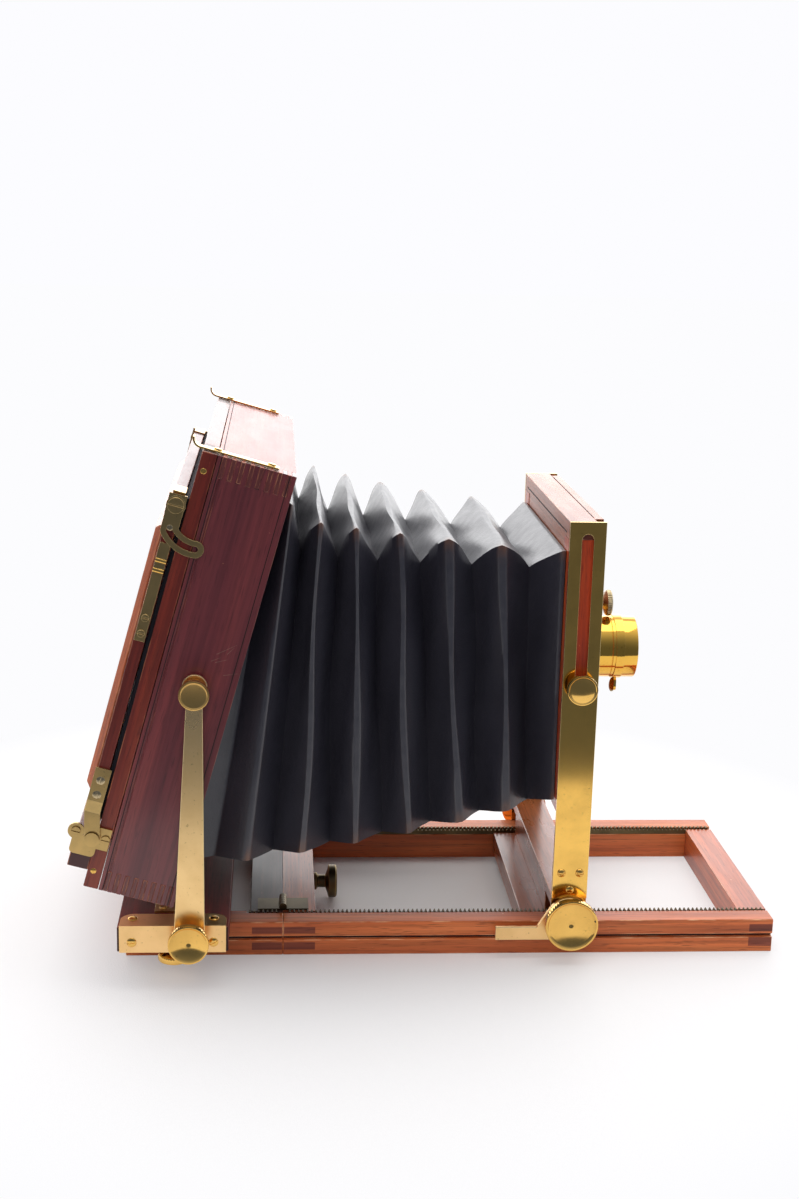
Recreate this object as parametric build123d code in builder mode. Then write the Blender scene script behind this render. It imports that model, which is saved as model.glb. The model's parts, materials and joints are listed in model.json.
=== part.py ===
"""Half-plate field camera: a mahogany and brass folding plate camera, as separate pieces.

Millimetres. X runs along the lens axis towards the subject, Y is across the camera and Z is up.
The origin is the mouth of the tripod bush, on the underside of the bed and at its middle.
The right-hand side of the camera is at -Y. The back leans forward, as it stands in the picture.
"""

import math
import os

from build123d import *

os.makedirs("parts", exist_ok=True)

SIDES = (("left", 1), ("right", -1))
RUN = 0.05  # radial room of a turning screw or shaft
AIR = 0.3  # gap between pieces that move past each other

# Bed: two rails and cross-rails, in a rear and a front length that meet at the seam
BED_WIDTH = 132.5
RAIL_HEIGHT = 16.5
RAIL_WIDTH = 13.5
SEAM_X = 49.0
REAR_LENGTH = 73.0
FRONT_LENGTH = 233.5
SEAM_CROSS_WIDTH = 15.5
END_CROSS_WIDTH = 14.0
CROSS_DROP = 0.6  # the cross-rails lie a little below the rail tops
GROOVE_HEIGHT = 1.6
GROOVE_DEPTH = 2.0
GROOVE_Z = 8.4
BASE_BOARD_LENGTH = 46.0
BED_HALF = BED_WIDTH / 2
BED_INNER = BED_HALF - RAIL_WIDTH
BED_REAR_X = SEAM_X - REAR_LENGTH
BED_FRONT_X = SEAM_X + FRONT_LENGTH

# Rack and pinion
MODULE = 0.665
PINION_TEETH = 10
TOOTH_SHARE = 0.40  # share of the pitch that a tooth fills at the pitch line
ADDENDUM = 0.8 * MODULE
DEDENDUM = 1.25 * MODULE
RACK_WIDTH = 2.6
RACK_BODY = 2.2
RACK_START_X = 32.0
RACK_PROUD = 0.4  # the tips stand this far above the rail
PRESSURE_ANGLE = 20.0
PITCH = math.pi * MODULE
PINION_RADIUS = MODULE * PINION_TEETH / 2
RACK_PITCH_Z = RAIL_HEIGHT + RACK_PROUD - ADDENDUM
RACK_ROOT_Z = RACK_PITCH_Z - DEDENDUM
RACK_SEAT_Z = RACK_ROOT_Z - RACK_BODY

# Tripod bush and swing pivot
BUSH_THREAD_RADIUS = 4.0
BUSH_RADIUS = 8.5
BUSH_LENGTH = 9.0
BUSH_FLANGE_RADIUS = 14.0
BUSH_FLANGE = 1.5
PIVOT_RADIUS = 4.0
PIVOT_HEAD_RADIUS = 8.0
PIVOT_HEAD = 1.6
PIVOT_ROOT_Z = 11.0

# Swing bar, and the wide board that swings on it
SWING_BAR_WIDTH = 26.0
SWING_BAR_LAP = 9.0  # the bar runs this far past the clamp screws
SWING_BAR_THICKNESS = 1.8
SWING_ANGLE = 4.0
SWING_SCREW_INSET = 13.0  # from the board's end to the clamp screw
SWING_SCREW_GRIP = 8.4  # depth of the clamp screw in the board
SWING_KNOB_BOSS = 3.0
SWING_KNOB_RADIUS = 7.5
SWING_KNOB_HEAD = 4.2
SCREW_RADIUS = 2.2
BOARD_LENGTH = 49.0
BOARD_THICKNESS = 11.4
BOARD_OVERHANG = 1.0  # the board stands this far past the back's sides
BACK_SIZE = 200.0  # the square back, which the plate's format sets
BOARD_HALF = BACK_SIZE / 2 + BOARD_OVERHANG
SWING_SCREW_Y = BOARD_HALF - SWING_SCREW_INSET
SWING_BAR_HALF = SWING_SCREW_Y + SWING_BAR_LAP
BAR_TOP = RAIL_HEIGHT + SWING_BAR_THICKNESS
BOARD_Z = BAR_TOP + AIR
BOARD_TOP = BOARD_Z + BOARD_THICKNESS

# Angle plates on the board, and the struts that hold the back
PLATE_LENGTH = 47.0
PLATE_THICKNESS = 1.3
PLATE_FLANGE = 13.0
PLATE_CORNER = 6.0
STRUT_THICKNESS = 2.0
STRUT_FOOT = 6.8
STRUT_NECK = 3.4
STRUT_HEAD = 5.4
STRUT_SLACK = 2.0
STRUT_FOOT_X = 7.4
STRUT_FOOT_Z = 26.5
STRUT_KNOB_RADIUS = 9.0
TILT_KNOB_RADIUS = 6.6
PLATE_Y = BOARD_HALF + PLATE_THICKNESS
STRUT_Y = PLATE_Y + AIR
STRUT_OUT = STRUT_Y + STRUT_THICKNESS

# Back: a finger-jointed box, hinged at its lower front edge
LEAN = 15.17
HINGE_X = 2.0
HINGE_Z = 37.0
BOX_DEPTH = 33.8
BOX_WALL = 9.5
BOX_FINGERS = 17
BOX_BEAD_X = 2.4  # the scored line lies this far from the box's rear edge
BEAD_WIDTH = 0.8
BEAD_DEPTH = 0.6
HINGE_BARREL = 2.0
HINGE_PIN = 1.0
HINGE_LEAF = 1.0
HINGE_LENGTH = 15.0
HINGE_INSET = 22.0  # from the box's side to the hinge's middle
HINGE_LEAF_TOP = 15.0
HINGE_LEAF_GAP = 3.0  # the leaf is cut away up to here beside its knuckle
HINGE_FOOT = 11.0  # the bracket's foot, from the pin rearwards
HINGE_SCREW_BACK = 7.5
HINGE_SCREW_SPREAD = 4.0
BOX_FRONT = -(HINGE_BARREL + 0.2)
BOX_FLOOR = 1.2
BOX_REAR = BOX_FRONT - BOX_DEPTH
BOX_SIZE = BACK_SIZE
BOX_HALF = BOX_SIZE / 2
HINGE_Y = BOX_HALF - HINGE_INSET
BOX_ROOF = BOX_FLOOR + BOX_SIZE
TRUNNION_X = BOX_FRONT - 17.0
TRUNNION_Z = BOX_FLOOR + BOX_SIZE / 2
BACK = Plane(
    origin=(HINGE_X, 0, HINGE_Z),
    x_dir=(math.cos(math.radians(LEAN)), 0, -math.sin(math.radians(LEAN))),
    z_dir=(math.sin(math.radians(LEAN)), 0, math.cos(math.radians(LEAN))),
)

# Reversing back: a square frame that lifts off, with a ledge for the screen's hinges
REVERSING_DEPTH = 6.5
REVERSING_BAR = 22.0
LEDGE_DEPTH = 9.2
LEDGE_LIFT = 7.8
LEDGE_HEIGHT = 9.7
LEDGE_BOTTOM = BOX_FLOOR + LEDGE_LIFT
LEDGE_TOP = LEDGE_BOTTOM + LEDGE_HEIGHT
REVERSING_FRONT = BOX_REAR - AIR
REVERSING_REAR = REVERSING_FRONT - REVERSING_DEPTH

# Focusing screen
SEAL_GAP = 2.1
SCREEN_DEPTH = 5.1
SCREEN_INSET = 1.0  # the screen is this much narrower at each side than the back
SCREEN_LIFT = 30.0  # from the back's floor to the screen's
SCREEN_DROP = 20.0  # from the back's roof down to the screen's
SCREEN_STILE = 17.0
SCREEN_HEAD = 26.0
SCREEN_SILL = 21.0
GLASS_THICKNESS = 2.5
GLASS_ROOM = 0.2
BEAD_PROUD = 3.4
BEAD_STRIP = 13.0
BEAD_LAP = 3.0
BEAD_BEVEL = 2.6
BEAD_MITRE = 0.1  # saw cut between two beads
SCREEN_PIN_RADIUS = 1.6
SCREEN_PIN_LIFT = 23.7
SCREEN_PIN_BACK = 1.7
STRAP_WIDTH = 7.0
STRAP_LENGTH = 24.8  # up from the screen's floor
STRAP_NECK = 6.0  # the strap keeps its width down to here above the screen's floor
STRAP_JOGGLE = 3.6  # the joggle starts above the hinge plate's rear lobe, so the screen can swing down past it
STRAP_EYE = 3.4
STRAP_THICKNESS = 1.2
HINGE_PLATE_THICKNESS = 1.2
SCREEN_FRONT = REVERSING_REAR - SEAL_GAP
SCREEN_REAR = SCREEN_FRONT - SCREEN_DEPTH
SCREEN_HALF = BOX_HALF - SCREEN_INSET
SCREEN_FLOOR = BOX_FLOOR + SCREEN_LIFT
SCREEN_ROOF = BOX_ROOF - SCREEN_DROP
SCREEN_PIN_X = REVERSING_REAR - SCREEN_PIN_BACK
SCREEN_PIN_Z = BOX_FLOOR + SCREEN_PIN_LIFT
STRAP_X = (SCREEN_FRONT + SCREEN_REAR) / 2
STRAP_TOP = SCREEN_FLOOR + STRAP_LENGTH
STRAP_Y = BOX_HALF + HINGE_PLATE_THICKNESS + 1.4

# Screen catches and their leaf springs
CATCH_THICKNESS = 1.2
CATCH_WIDTH = 7.4
CATCH_SLOT = 2.6
CATCH_DROP = 11.0
CATCH_REACH = 12.5
CATCH_SCREW_RADIUS = 3.4
CATCH_Z = SCREEN_ROOF - 5.0
CATCH_Y = BOX_HALF + AIR
SPRING_LENGTH = 44.0
SPRING_WIDTH = 4.6
SPRING_THICKNESS = 0.8
SPRING_TOP = SCREEN_ROOF - 22.0

# Spring strips on top of the back
TOP_STRIP_LENGTH = 34.0
TOP_STRIP_WIDTH = 6.0
TOP_STRIP_THICKNESS = 0.8
TOP_STRIP_INSET = 6.0
TOP_STRIP_START = 8.0
TOP_CURL_RADIUS = 4.0
TOP_STRIP_Y = BOX_HALF - TOP_STRIP_INSET

# Front standard
STANDARD_X = 182.75
UPRIGHT_WIDTH = 16.5
UPRIGHT_THICKNESS = 1.5
UPRIGHT_FOOT_Z = 29.0
UPRIGHT_TOP_Z = 208.5
UPRIGHT_SCREW_HIGH = 12.8
UPRIGHT_SCREW_LOW = 4.4
UPRIGHT_SCREW_SPREAD = 4.3
SLOT_WIDTH = 5.3
SLOT_TOP_Z = 203.0
SHOE_THICKNESS = 1.2
SHOE_TOP_Z = 46.0
SHOE_BOTTOM_Z = 7.8
TONGUE_HEIGHT = 1.1
TONGUE_DEPTH = 1.6
CARRIAGE_LENGTH = 33.0
CARRIAGE_BACK = 20.0
CARRIAGE_Z = 4.0
CARRIAGE_HEIGHT = 10.5
SILL_FLANGE_Z = 24.8
SILL_TOP_Z = 30.0
SHAFT_RADIUS = 2.5
PINION_WIDTH = 2.0
SHOE_Y = BED_HALF + AIR
UPRIGHT_Y = SHOE_Y + SHOE_THICKNESS
UPRIGHT_OUT = UPRIGHT_Y + UPRIGHT_THICKNESS
AXLE_Z = RACK_PITCH_Z + PINION_RADIUS
CARRIAGE_TOP = CARRIAGE_Z + CARRIAGE_HEIGHT

# Focusing knobs and the lock lever behind the right-hand one
KNOB_RADIUS = 12.4
KNOB_THICKNESS = 5.5
KNOB_BOSS = 4.5
LEVER_THICKNESS = 2.2
LEVER_HUB = 10.4
LEVER_BAR = 6.3
LEVER_REACH = 34.5
LEVER_Y = UPRIGHT_OUT + AIR
KNOB_Y = LEVER_Y + LEVER_THICKNESS + AIR

# Rising front, lens panel and lens
FRONT_CLEAR = 0.45
FRONT_FLOOR_Z = 72.0
FRONT_STILE = 12.0
FRONT_RAIL = 8.5
PANEL_THICKNESS = 4.0
PANEL_EDGE = 6.0
LENS_Z = 133.3
LENS_RADIUS = 15.2
LENS_BORE = 12.4
LENS_LENGTH = 32.0
LENS_FLANGE_RADIUS = 19.0
LENS_FLANGE = 2.5
LENS_CELL_RADIUS = 12.9
LENS_CELL_LENGTH = 11.0
GLASS_EDGE = 1.2
GLASS_BULGE = 3.0
IRIS_RING = 1.1
IRIS_WIDTH = 4.0
IRIS_FORWARD = 19.2
IRIS_REACH = 22.5
IRIS_LEAF = 1.2
PANEL_SCREW_RISE = 22.0
PANEL_SCREW_HEAD = 6.4
PANEL_SCREW_STEM = 14.0
PANEL_SCREW_HEAD_THICKNESS = 4.8
RISE_KNOB_Z = 132.4
RISE_KNOB_RADIUS = 7.1
FRONT_HALF = UPRIGHT_Y - FRONT_CLEAR
FRONT_REAR_X = STANDARD_X - UPRIGHT_WIDTH / 2
PANEL_X = STANDARD_X + UPRIGHT_WIDTH / 2 - PANEL_THICKNESS
PANEL_FACE_X = PANEL_X + PANEL_THICKNESS

# Bed lock screw and bed hinges
LOCK_RADIUS = 8.2
LOCK_STEM = 3.2
LOCK_Z = 9.0
BED_LEAF_LENGTH = 12.0
BED_LEAF_WIDTH = 12.5
BED_LEAF_THICKNESS = 1.0
BED_KNUCKLE_RADIUS = 1.8
BED_KNUCKLES = 5

# Bellows: pleats run round all four sides and fan from the leaning back to the upright front
RIDGES = 7
PLEAT_DEPTH = 15.0  # at the sides
ROOF_DEPTH_REAR = 21.0  # the roof's folds are deepest at the back
ROOF_DEPTH_FRONT = 11.0
FLOOR_DEPTH = 1.0  # the floor's folds hang open under the leather's weight
BELLOWS_WALL = 1.7
BELLOWS_FRONT_INSET = 4.3  # inside the rising front's width
BELLOWS_REAR_INSET = 2.5  # inside the box's walls
BELLOWS_TOP_GAP = 4.0
BELLOWS_MOUTH = 1.5
BELLOWS_FRONT_TOP = 194.0
BELLOWS_FRONT_BOTTOM = 76.0
BELLOWS_MOUTH_BOTTOM_X = 31.8
FLOOR_BOW = 12.0  # the floor's ridges are bunched a little towards the front
BELLOWS_MOUTH_BOTTOM_Z = 56.0
TAPER_POWER = 2.0
TOP_POWER = 1.5  # the roof line falls most near the back
BOTTOM_POWER = 1.8  # the floor line rises most near the front
FAN_SHARE = 0.55
BELLOWS_FRONT_HALF = FRONT_HALF - BELLOWS_FRONT_INSET
BELLOWS_REAR_HALF = BOX_HALF - BOX_WALL - BELLOWS_REAR_INSET

SCREW_HEAD = 2.2
SCREW_HEAD_HEIGHT = 0.8
SCREW_SLOT = 0.6


def finish(piece: Part, label: str) -> None:
    """Name a finished piece and write it as its own file."""
    piece.label = label
    export_step(piece, f"parts/{label}.step")


def block(x: tuple, y: tuple, z: tuple, mode: Mode = Mode.ADD) -> None:
    """Add or cut a box between two places along each axis of the open part."""
    with Locations(((x[0] + x[1]) / 2, (y[0] + y[1]) / 2, (z[0] + z[1]) / 2)):
        Box(abs(x[1] - x[0]), abs(y[1] - y[0]), abs(z[1] - z[0]), mode=mode)


def across(sign: int, near: float, far: float) -> tuple:
    """A stretch across the camera, on the side that the sign names."""
    return (sign * near, sign * far)


def seated(local: Plane, base: Plane) -> Plane:
    """A plane that is given in another plane's own frame, such as the leaning back's."""
    return Plane(base.location * local.location)


def facing(sign: int, x: float, y: float, z: float, base: Plane = Plane.XY) -> Plane:
    """A plane at one place on a side of the camera, facing outwards."""
    return seated(Plane((x, sign * y, z), x_dir=(1, 0, 0), z_dir=(0, sign, 0)), base)


def outside(sign: int, y: float, base: Plane = Plane.XY) -> Plane:
    """A plane across the camera whose own X and Y are the frame's X and Z, facing -Y."""
    return seated(Plane((0, sign * y, 0), x_dir=(1, 0, 0), z_dir=(0, -1, 0)), base)


def turned(outline: list, plane: Plane) -> None:
    """Revolve a half outline of radius and height points about the plane's own axis."""
    with BuildSketch(Plane(origin=plane.origin, x_dir=plane.x_dir, z_dir=-plane.y_dir)) as half_section:
        with BuildLine():
            Polyline(*outline, close=True)
        make_face()
    revolve(half_section.sketch, axis=Axis(plane.origin, plane.z_dir))


def clamp_knob(plane: Plane, shank: float, boss: float, radius: float, head: float) -> None:
    """A dished brass clamp knob: threaded shank, boss and a hollowed head, along the plane's axis."""
    rim = head * 0.55
    turned(
        [
            (0, -shank),
            (SCREW_RADIUS, -shank),
            (SCREW_RADIUS, 0),
            (radius * 0.5, 0),
            (radius * 0.42, boss),
            (radius * 0.9, boss + head * 0.25),
            (radius, boss + head * 0.45),
            (radius, boss + head - 0.3),
            (radius - 0.3, boss + head),
            (radius - 1.1, boss + head),
            (radius * 0.3, boss + head - rim),
            (0, boss + head - rim * 1.1),
        ],
        plane,
    )


def screw_head(plane: Plane, radius: float = SCREW_HEAD) -> None:
    """A slotted cheese head standing on the plane."""
    with BuildSketch(plane) as halves:
        Circle(radius)
        Rectangle(2.2 * radius, SCREW_SLOT, mode=Mode.SUBTRACT)
    with BuildSketch(plane) as disc:
        Circle(radius)
    extrude(disc.sketch, amount=SCREW_HEAD_HEIGHT * 0.4)
    extrude(halves.sketch, amount=SCREW_HEAD_HEIGHT)


# Bed rails, with the groove for the standard's shoes outside and the rack's seat on the inner edge
def rails(start: float, end: float) -> None:
    """A pair of rails between two places along the bed."""
    for _, sign in SIDES:
        block((start, end), across(sign, BED_INNER, BED_HALF), (0, RAIL_HEIGHT))
        groove = (GROOVE_Z - GROOVE_HEIGHT / 2, GROOVE_Z + GROOVE_HEIGHT / 2)
        block((start, end), across(sign, BED_HALF - GROOVE_DEPTH, BED_HALF), groove, Mode.SUBTRACT)
        seat = (max(start, RACK_START_X), end)
        inset = across(sign, BED_INNER, BED_INNER + RACK_WIDTH)
        block(seat, inset, (RACK_SEAT_Z, RAIL_HEIGHT), Mode.SUBTRACT)


with BuildPart() as rear_rails:
    rails(BED_REAR_X, SEAM_X)
finish(rear_rails.part, "rear_rails")

with BuildPart() as front_rails:
    rails(SEAM_X, BED_FRONT_X)
finish(front_rails.part, "front_rails")

with BuildPart() as base_board:
    block((BED_REAR_X, BED_REAR_X + BASE_BOARD_LENGTH), (-BED_INNER, BED_INNER), (0, RAIL_HEIGHT))
    Cylinder(BUSH_RADIUS, 2 * BUSH_LENGTH, mode=Mode.SUBTRACT)
    Cylinder(BUSH_FLANGE_RADIUS, 2 * BUSH_FLANGE, mode=Mode.SUBTRACT)
    with Locations((0, 0, RAIL_HEIGHT)):
        Cylinder(PIVOT_RADIUS, 2 * (RAIL_HEIGHT - PIVOT_ROOT_Z), mode=Mode.SUBTRACT)
finish(base_board.part, "base_board")

LOCK_PLANE = Plane(origin=(SEAM_X + SEAM_CROSS_WIDTH, 0, LOCK_Z), x_dir=(0, 1, 0), z_dir=(1, 0, 0))

with BuildPart() as rear_cross_rail:
    block((SEAM_X - SEAM_CROSS_WIDTH, SEAM_X), (-BED_INNER, BED_INNER), (0, RAIL_HEIGHT - CROSS_DROP))
    with BuildSketch(LOCK_PLANE):
        Circle(SCREW_RADIUS + RUN)
    extrude(amount=-2.2 * SEAM_CROSS_WIDTH, mode=Mode.SUBTRACT)
finish(rear_cross_rail.part, "rear_cross_rail")

with BuildPart() as front_cross_rails:
    block((SEAM_X, SEAM_X + SEAM_CROSS_WIDTH), (-BED_INNER, BED_INNER), (0, RAIL_HEIGHT - CROSS_DROP))
    end_cross = (BED_FRONT_X - END_CROSS_WIDTH, BED_FRONT_X)
    block(end_cross, (-BED_INNER, BED_INNER), (0, RAIL_HEIGHT - CROSS_DROP))
    with BuildSketch(LOCK_PLANE):
        Circle(SCREW_RADIUS + RUN)
    extrude(amount=-1.5 * SEAM_CROSS_WIDTH, mode=Mode.SUBTRACT)
finish(front_cross_rails.part, "front_cross_rails")


# Racks: one tooth outline, repeated on the pitch, so that a gap lies under the pinion's axle
def tooth_half_width(height: float) -> float:
    """Half the rack tooth's width at a height above its pitch line."""
    return TOOTH_SHARE * PITCH / 2 - height * math.tan(math.radians(PRESSURE_ANGLE))


def rack(sign: int, start: float, end: float) -> None:
    """One straight rack on the inner edge of a rail."""
    first = math.ceil((start - STANDARD_X) / PITCH)
    last = math.floor((end - STANDARD_X) / PITCH)
    points = [(start, RACK_SEAT_Z), (start, RACK_ROOT_Z)]
    for count in range(first, last):
        middle = STANDARD_X + (count + 0.5) * PITCH
        root = tooth_half_width(-DEDENDUM)
        tip = tooth_half_width(ADDENDUM)
        points.append((middle - root, RACK_ROOT_Z))
        points.append((middle - tip, RACK_PITCH_Z + ADDENDUM))
        points.append((middle + tip, RACK_PITCH_Z + ADDENDUM))
        points.append((middle + root, RACK_ROOT_Z))
    points.append((end, RACK_ROOT_Z))
    points.append((end, RACK_SEAT_Z))
    with BuildSketch(outside(sign, BED_INNER)) as outline:
        with BuildLine():
            Polyline(*points, close=True)
        make_face()
    extrude(outline.sketch, amount=-sign * RACK_WIDTH)


with BuildPart() as racks:
    for _, side_sign in SIDES:
        rack(side_sign, RACK_START_X, SEAM_X)
        rack(side_sign, SEAM_X + AIR, BED_FRONT_X - 1)
finish(racks.part, "racks")

# Bed hinges: two leaves and a knuckled barrel on each side, on the cross-rails at the seam
with BuildPart() as bed_hinges:
    leaf_z = (RAIL_HEIGHT - CROSS_DROP, RAIL_HEIGHT - CROSS_DROP + BED_LEAF_THICKNESS)
    knuckle = BED_LEAF_WIDTH / BED_KNUCKLES
    for _, side_sign in SIDES:
        inner = BED_INNER - 1 - BED_LEAF_WIDTH
        for way in (-1, 1):
            reach = (SEAM_X + way * (BED_KNUCKLE_RADIUS - 0.4), SEAM_X + way * BED_LEAF_LENGTH)
            block(reach, across(side_sign, inner, inner + BED_LEAF_WIDTH), leaf_z)
        for number in range(BED_KNUCKLES):
            place = (SEAM_X, side_sign * (inner + knuckle * (number + 0.5)), leaf_z[0] + BED_KNUCKLE_RADIUS)
            with Locations(Plane(origin=place, z_dir=(0, 1, 0))):
                Cylinder(BED_KNUCKLE_RADIUS, knuckle - 0.3)
        middle = (SEAM_X, side_sign * (inner + BED_LEAF_WIDTH / 2), leaf_z[0] + BED_KNUCKLE_RADIUS)
        with Locations(Plane(origin=middle, z_dir=(0, 1, 0))):
            Cylinder(BED_KNUCKLE_RADIUS * 0.7, BED_LEAF_WIDTH)
finish(bed_hinges.part, "bed_hinges")

with BuildPart() as bed_lock_screw:
    turned(
        [
            (0, -1.7 * SEAM_CROSS_WIDTH),
            (SCREW_RADIUS, -1.7 * SEAM_CROSS_WIDTH),
            (SCREW_RADIUS, AIR),
            (LOCK_STEM + 1.2, AIR),
            (LOCK_STEM + 1.2, 1.5),
            (LOCK_STEM, 2.2),
            (LOCK_STEM, 6.0),
            (LOCK_RADIUS * 0.7, 7.0),
            (LOCK_RADIUS, 7.6),
            (LOCK_RADIUS, 11.0),
            (LOCK_RADIUS - 0.8, 11.8),
            (0, 11.8),
        ],
        LOCK_PLANE,
    )
finish(bed_lock_screw.part, "bed_lock_screw")

with BuildPart() as tripod_bush:
    Cylinder(BUSH_RADIUS, BUSH_LENGTH, align=(Align.CENTER, Align.CENTER, Align.MIN))
    Cylinder(BUSH_FLANGE_RADIUS, BUSH_FLANGE, align=(Align.CENTER, Align.CENTER, Align.MIN))
    Cylinder(BUSH_THREAD_RADIUS, 2 * BUSH_LENGTH, mode=Mode.SUBTRACT)
finish(tripod_bush.part, "tripod_bush")

with BuildPart() as swing_pivot:
    turned(
        [
            (0, PIVOT_ROOT_Z),
            (PIVOT_RADIUS, PIVOT_ROOT_Z),
            (PIVOT_RADIUS, BOARD_TOP + AIR),
            (PIVOT_HEAD_RADIUS, BOARD_TOP + AIR),
            (PIVOT_HEAD_RADIUS, BOARD_TOP + AIR + PIVOT_HEAD * 0.5),
            (PIVOT_HEAD_RADIUS * 0.8, BOARD_TOP + AIR + PIVOT_HEAD),
            (0, BOARD_TOP + AIR + PIVOT_HEAD),
        ],
        Plane.XY,
    )
finish(swing_pivot.part, "swing_pivot")

with BuildPart() as swing_bar:
    half = SWING_BAR_WIDTH / 2
    block((-half, half), (-SWING_BAR_HALF, SWING_BAR_HALF), (RAIL_HEIGHT, BAR_TOP))
    fillet(swing_bar.edges().filter_by(Axis.Z), SWING_BAR_WIDTH * 0.3)
    with BuildSketch(Plane.XY.offset(RAIL_HEIGHT)):
        Circle(PIVOT_RADIUS)
        for _, side_sign in SIDES:
            with BuildLine(mode=Mode.PRIVATE) as sweep_line:
                CenterArc((0, 0), SWING_SCREW_Y, side_sign * 90 - SWING_ANGLE - 0.5, 2 * SWING_ANGLE + 1)
            SlotArc(sweep_line.edge(), 2 * (SCREW_RADIUS + AIR))
    extrude(amount=SWING_BAR_THICKNESS, mode=Mode.SUBTRACT)
finish(swing_bar.part, "swing_bar")

# Swing board, its angle plates and their screws
with BuildPart() as swing_board:
    block((-BOARD_LENGTH / 2, BOARD_LENGTH / 2), (-BOARD_HALF, BOARD_HALF), (BOARD_Z, BOARD_TOP))
    with Locations((0, 0, BOARD_Z)):
        Cylinder(PIVOT_RADIUS + RUN, 3 * BOARD_THICKNESS, mode=Mode.SUBTRACT)
    for _, side_sign in SIDES:
        with Locations((0, side_sign * SWING_SCREW_Y, BOARD_Z)):
            Cylinder(SCREW_RADIUS + RUN, 2 * (SWING_SCREW_GRIP + 0.6), mode=Mode.SUBTRACT)
        with BuildSketch(outside(side_sign, BOARD_HALF)):
            with Locations((STRUT_FOOT_X, STRUT_FOOT_Z)):
                Circle(SCREW_RADIUS + RUN)
        extrude(amount=side_sign * 9.5, mode=Mode.SUBTRACT)
finish(swing_board.part, "swing_board")

with BuildPart() as strut_plates:
    half = PLATE_LENGTH / 2
    for _, side_sign in SIDES:
        wall = (BOARD_Z, BOARD_TOP + PLATE_THICKNESS)
        block((-half, half), across(side_sign, BOARD_HALF, PLATE_Y), wall)
        with BuildSketch(Plane.XY.offset(BOARD_TOP)):
            with Locations((0, side_sign * (PLATE_Y - PLATE_FLANGE / 2))):
                Rectangle(PLATE_LENGTH, PLATE_FLANGE)
            fillet(vertices().sort_by_distance((0, 0))[:2], PLATE_CORNER)
        extrude(amount=PLATE_THICKNESS)
        with BuildSketch(outside(side_sign, PLATE_Y)):
            with Locations((STRUT_FOOT_X, STRUT_FOOT_Z)):
                Circle(SCREW_RADIUS + RUN)
        extrude(amount=side_sign * PLATE_THICKNESS, mode=Mode.SUBTRACT)
finish(strut_plates.part, "strut_plates")

with BuildPart() as plate_screws:
    reach = PLATE_LENGTH / 2 - 5.5
    for _, side_sign in SIDES:
        for place in (-reach, reach):
            screw_head(facing(side_sign, place, PLATE_Y, STRUT_FOOT_Z - 3))
            screw_head(Plane((place, side_sign * (PLATE_Y - 8), BOARD_TOP + PLATE_THICKNESS)))
finish(plate_screws.part, "plate_screws")

for side_name, side_sign in SIDES:
    with BuildPart() as swing_knob:
        seat = Plane((0, side_sign * SWING_SCREW_Y, RAIL_HEIGHT - AIR), x_dir=(1, 0, 0), z_dir=(0, 0, -1))
        shank = BOARD_Z + SWING_SCREW_GRIP - (RAIL_HEIGHT - AIR)
        clamp_knob(seat, shank, SWING_KNOB_BOSS, SWING_KNOB_RADIUS, SWING_KNOB_HEAD)
    finish(swing_knob.part, f"swing_knob_{side_name}")

# Struts, tapered from the foot to the neck, with a slotted head that gives the tilt its slack
TRUNNION = BACK.from_local_coords((TRUNNION_X, 0, TRUNNION_Z))
STRUT_TURN = math.degrees(math.atan2(TRUNNION.Z - STRUT_FOOT_Z, TRUNNION.X - STRUT_FOOT_X))

with BuildPart() as struts:
    for _, side_sign in SIDES:
        with BuildSketch(outside(side_sign, STRUT_Y)):
            with Locations((STRUT_FOOT_X, STRUT_FOOT_Z)):
                Circle(STRUT_FOOT)
            with Locations((TRUNNION.X, TRUNNION.Z)):
                Circle(STRUT_NECK)
            make_hull()
            with Locations((TRUNNION.X, TRUNNION.Z)):
                SlotCenterToCenter(2 * STRUT_SLACK, 2 * STRUT_HEAD, rotation=STRUT_TURN)
                room = 2 * (SCREW_RADIUS + AIR)
                SlotCenterToCenter(2 * STRUT_SLACK, room, rotation=STRUT_TURN, mode=Mode.SUBTRACT)
            with Locations((STRUT_FOOT_X, STRUT_FOOT_Z)):
                Circle(SCREW_RADIUS + RUN, mode=Mode.SUBTRACT)
        extrude(amount=-side_sign * STRUT_THICKNESS)
finish(struts.part, "struts")

for side_name, side_sign in SIDES:
    with BuildPart() as strut_knob:
        seat = facing(side_sign, STRUT_FOOT_X, STRUT_OUT + AIR, STRUT_FOOT_Z)
        clamp_knob(seat, STRUT_OUT + AIR - BOARD_HALF + 9, 2.6, STRUT_KNOB_RADIUS, 5.2)
    finish(strut_knob.part, f"strut_knob_{side_name}")
    with BuildPart() as tilt_knob:
        seat = facing(side_sign, TRUNNION_X, STRUT_OUT + AIR, TRUNNION_Z, BACK)
        clamp_knob(seat, STRUT_OUT + AIR - BOX_HALF + 8, 2.0, TILT_KNOB_RADIUS, 4.4)
        with BuildSketch(seat.offset(-(STRUT_OUT + AIR - BOX_HALF - AIR))):
            Circle(2 * SCREW_RADIUS)
        extrude(amount=STRUT_Y - BOX_HALF - 2 * AIR)
    finish(tilt_knob.part, f"tilt_knob_{side_name}")

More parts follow.
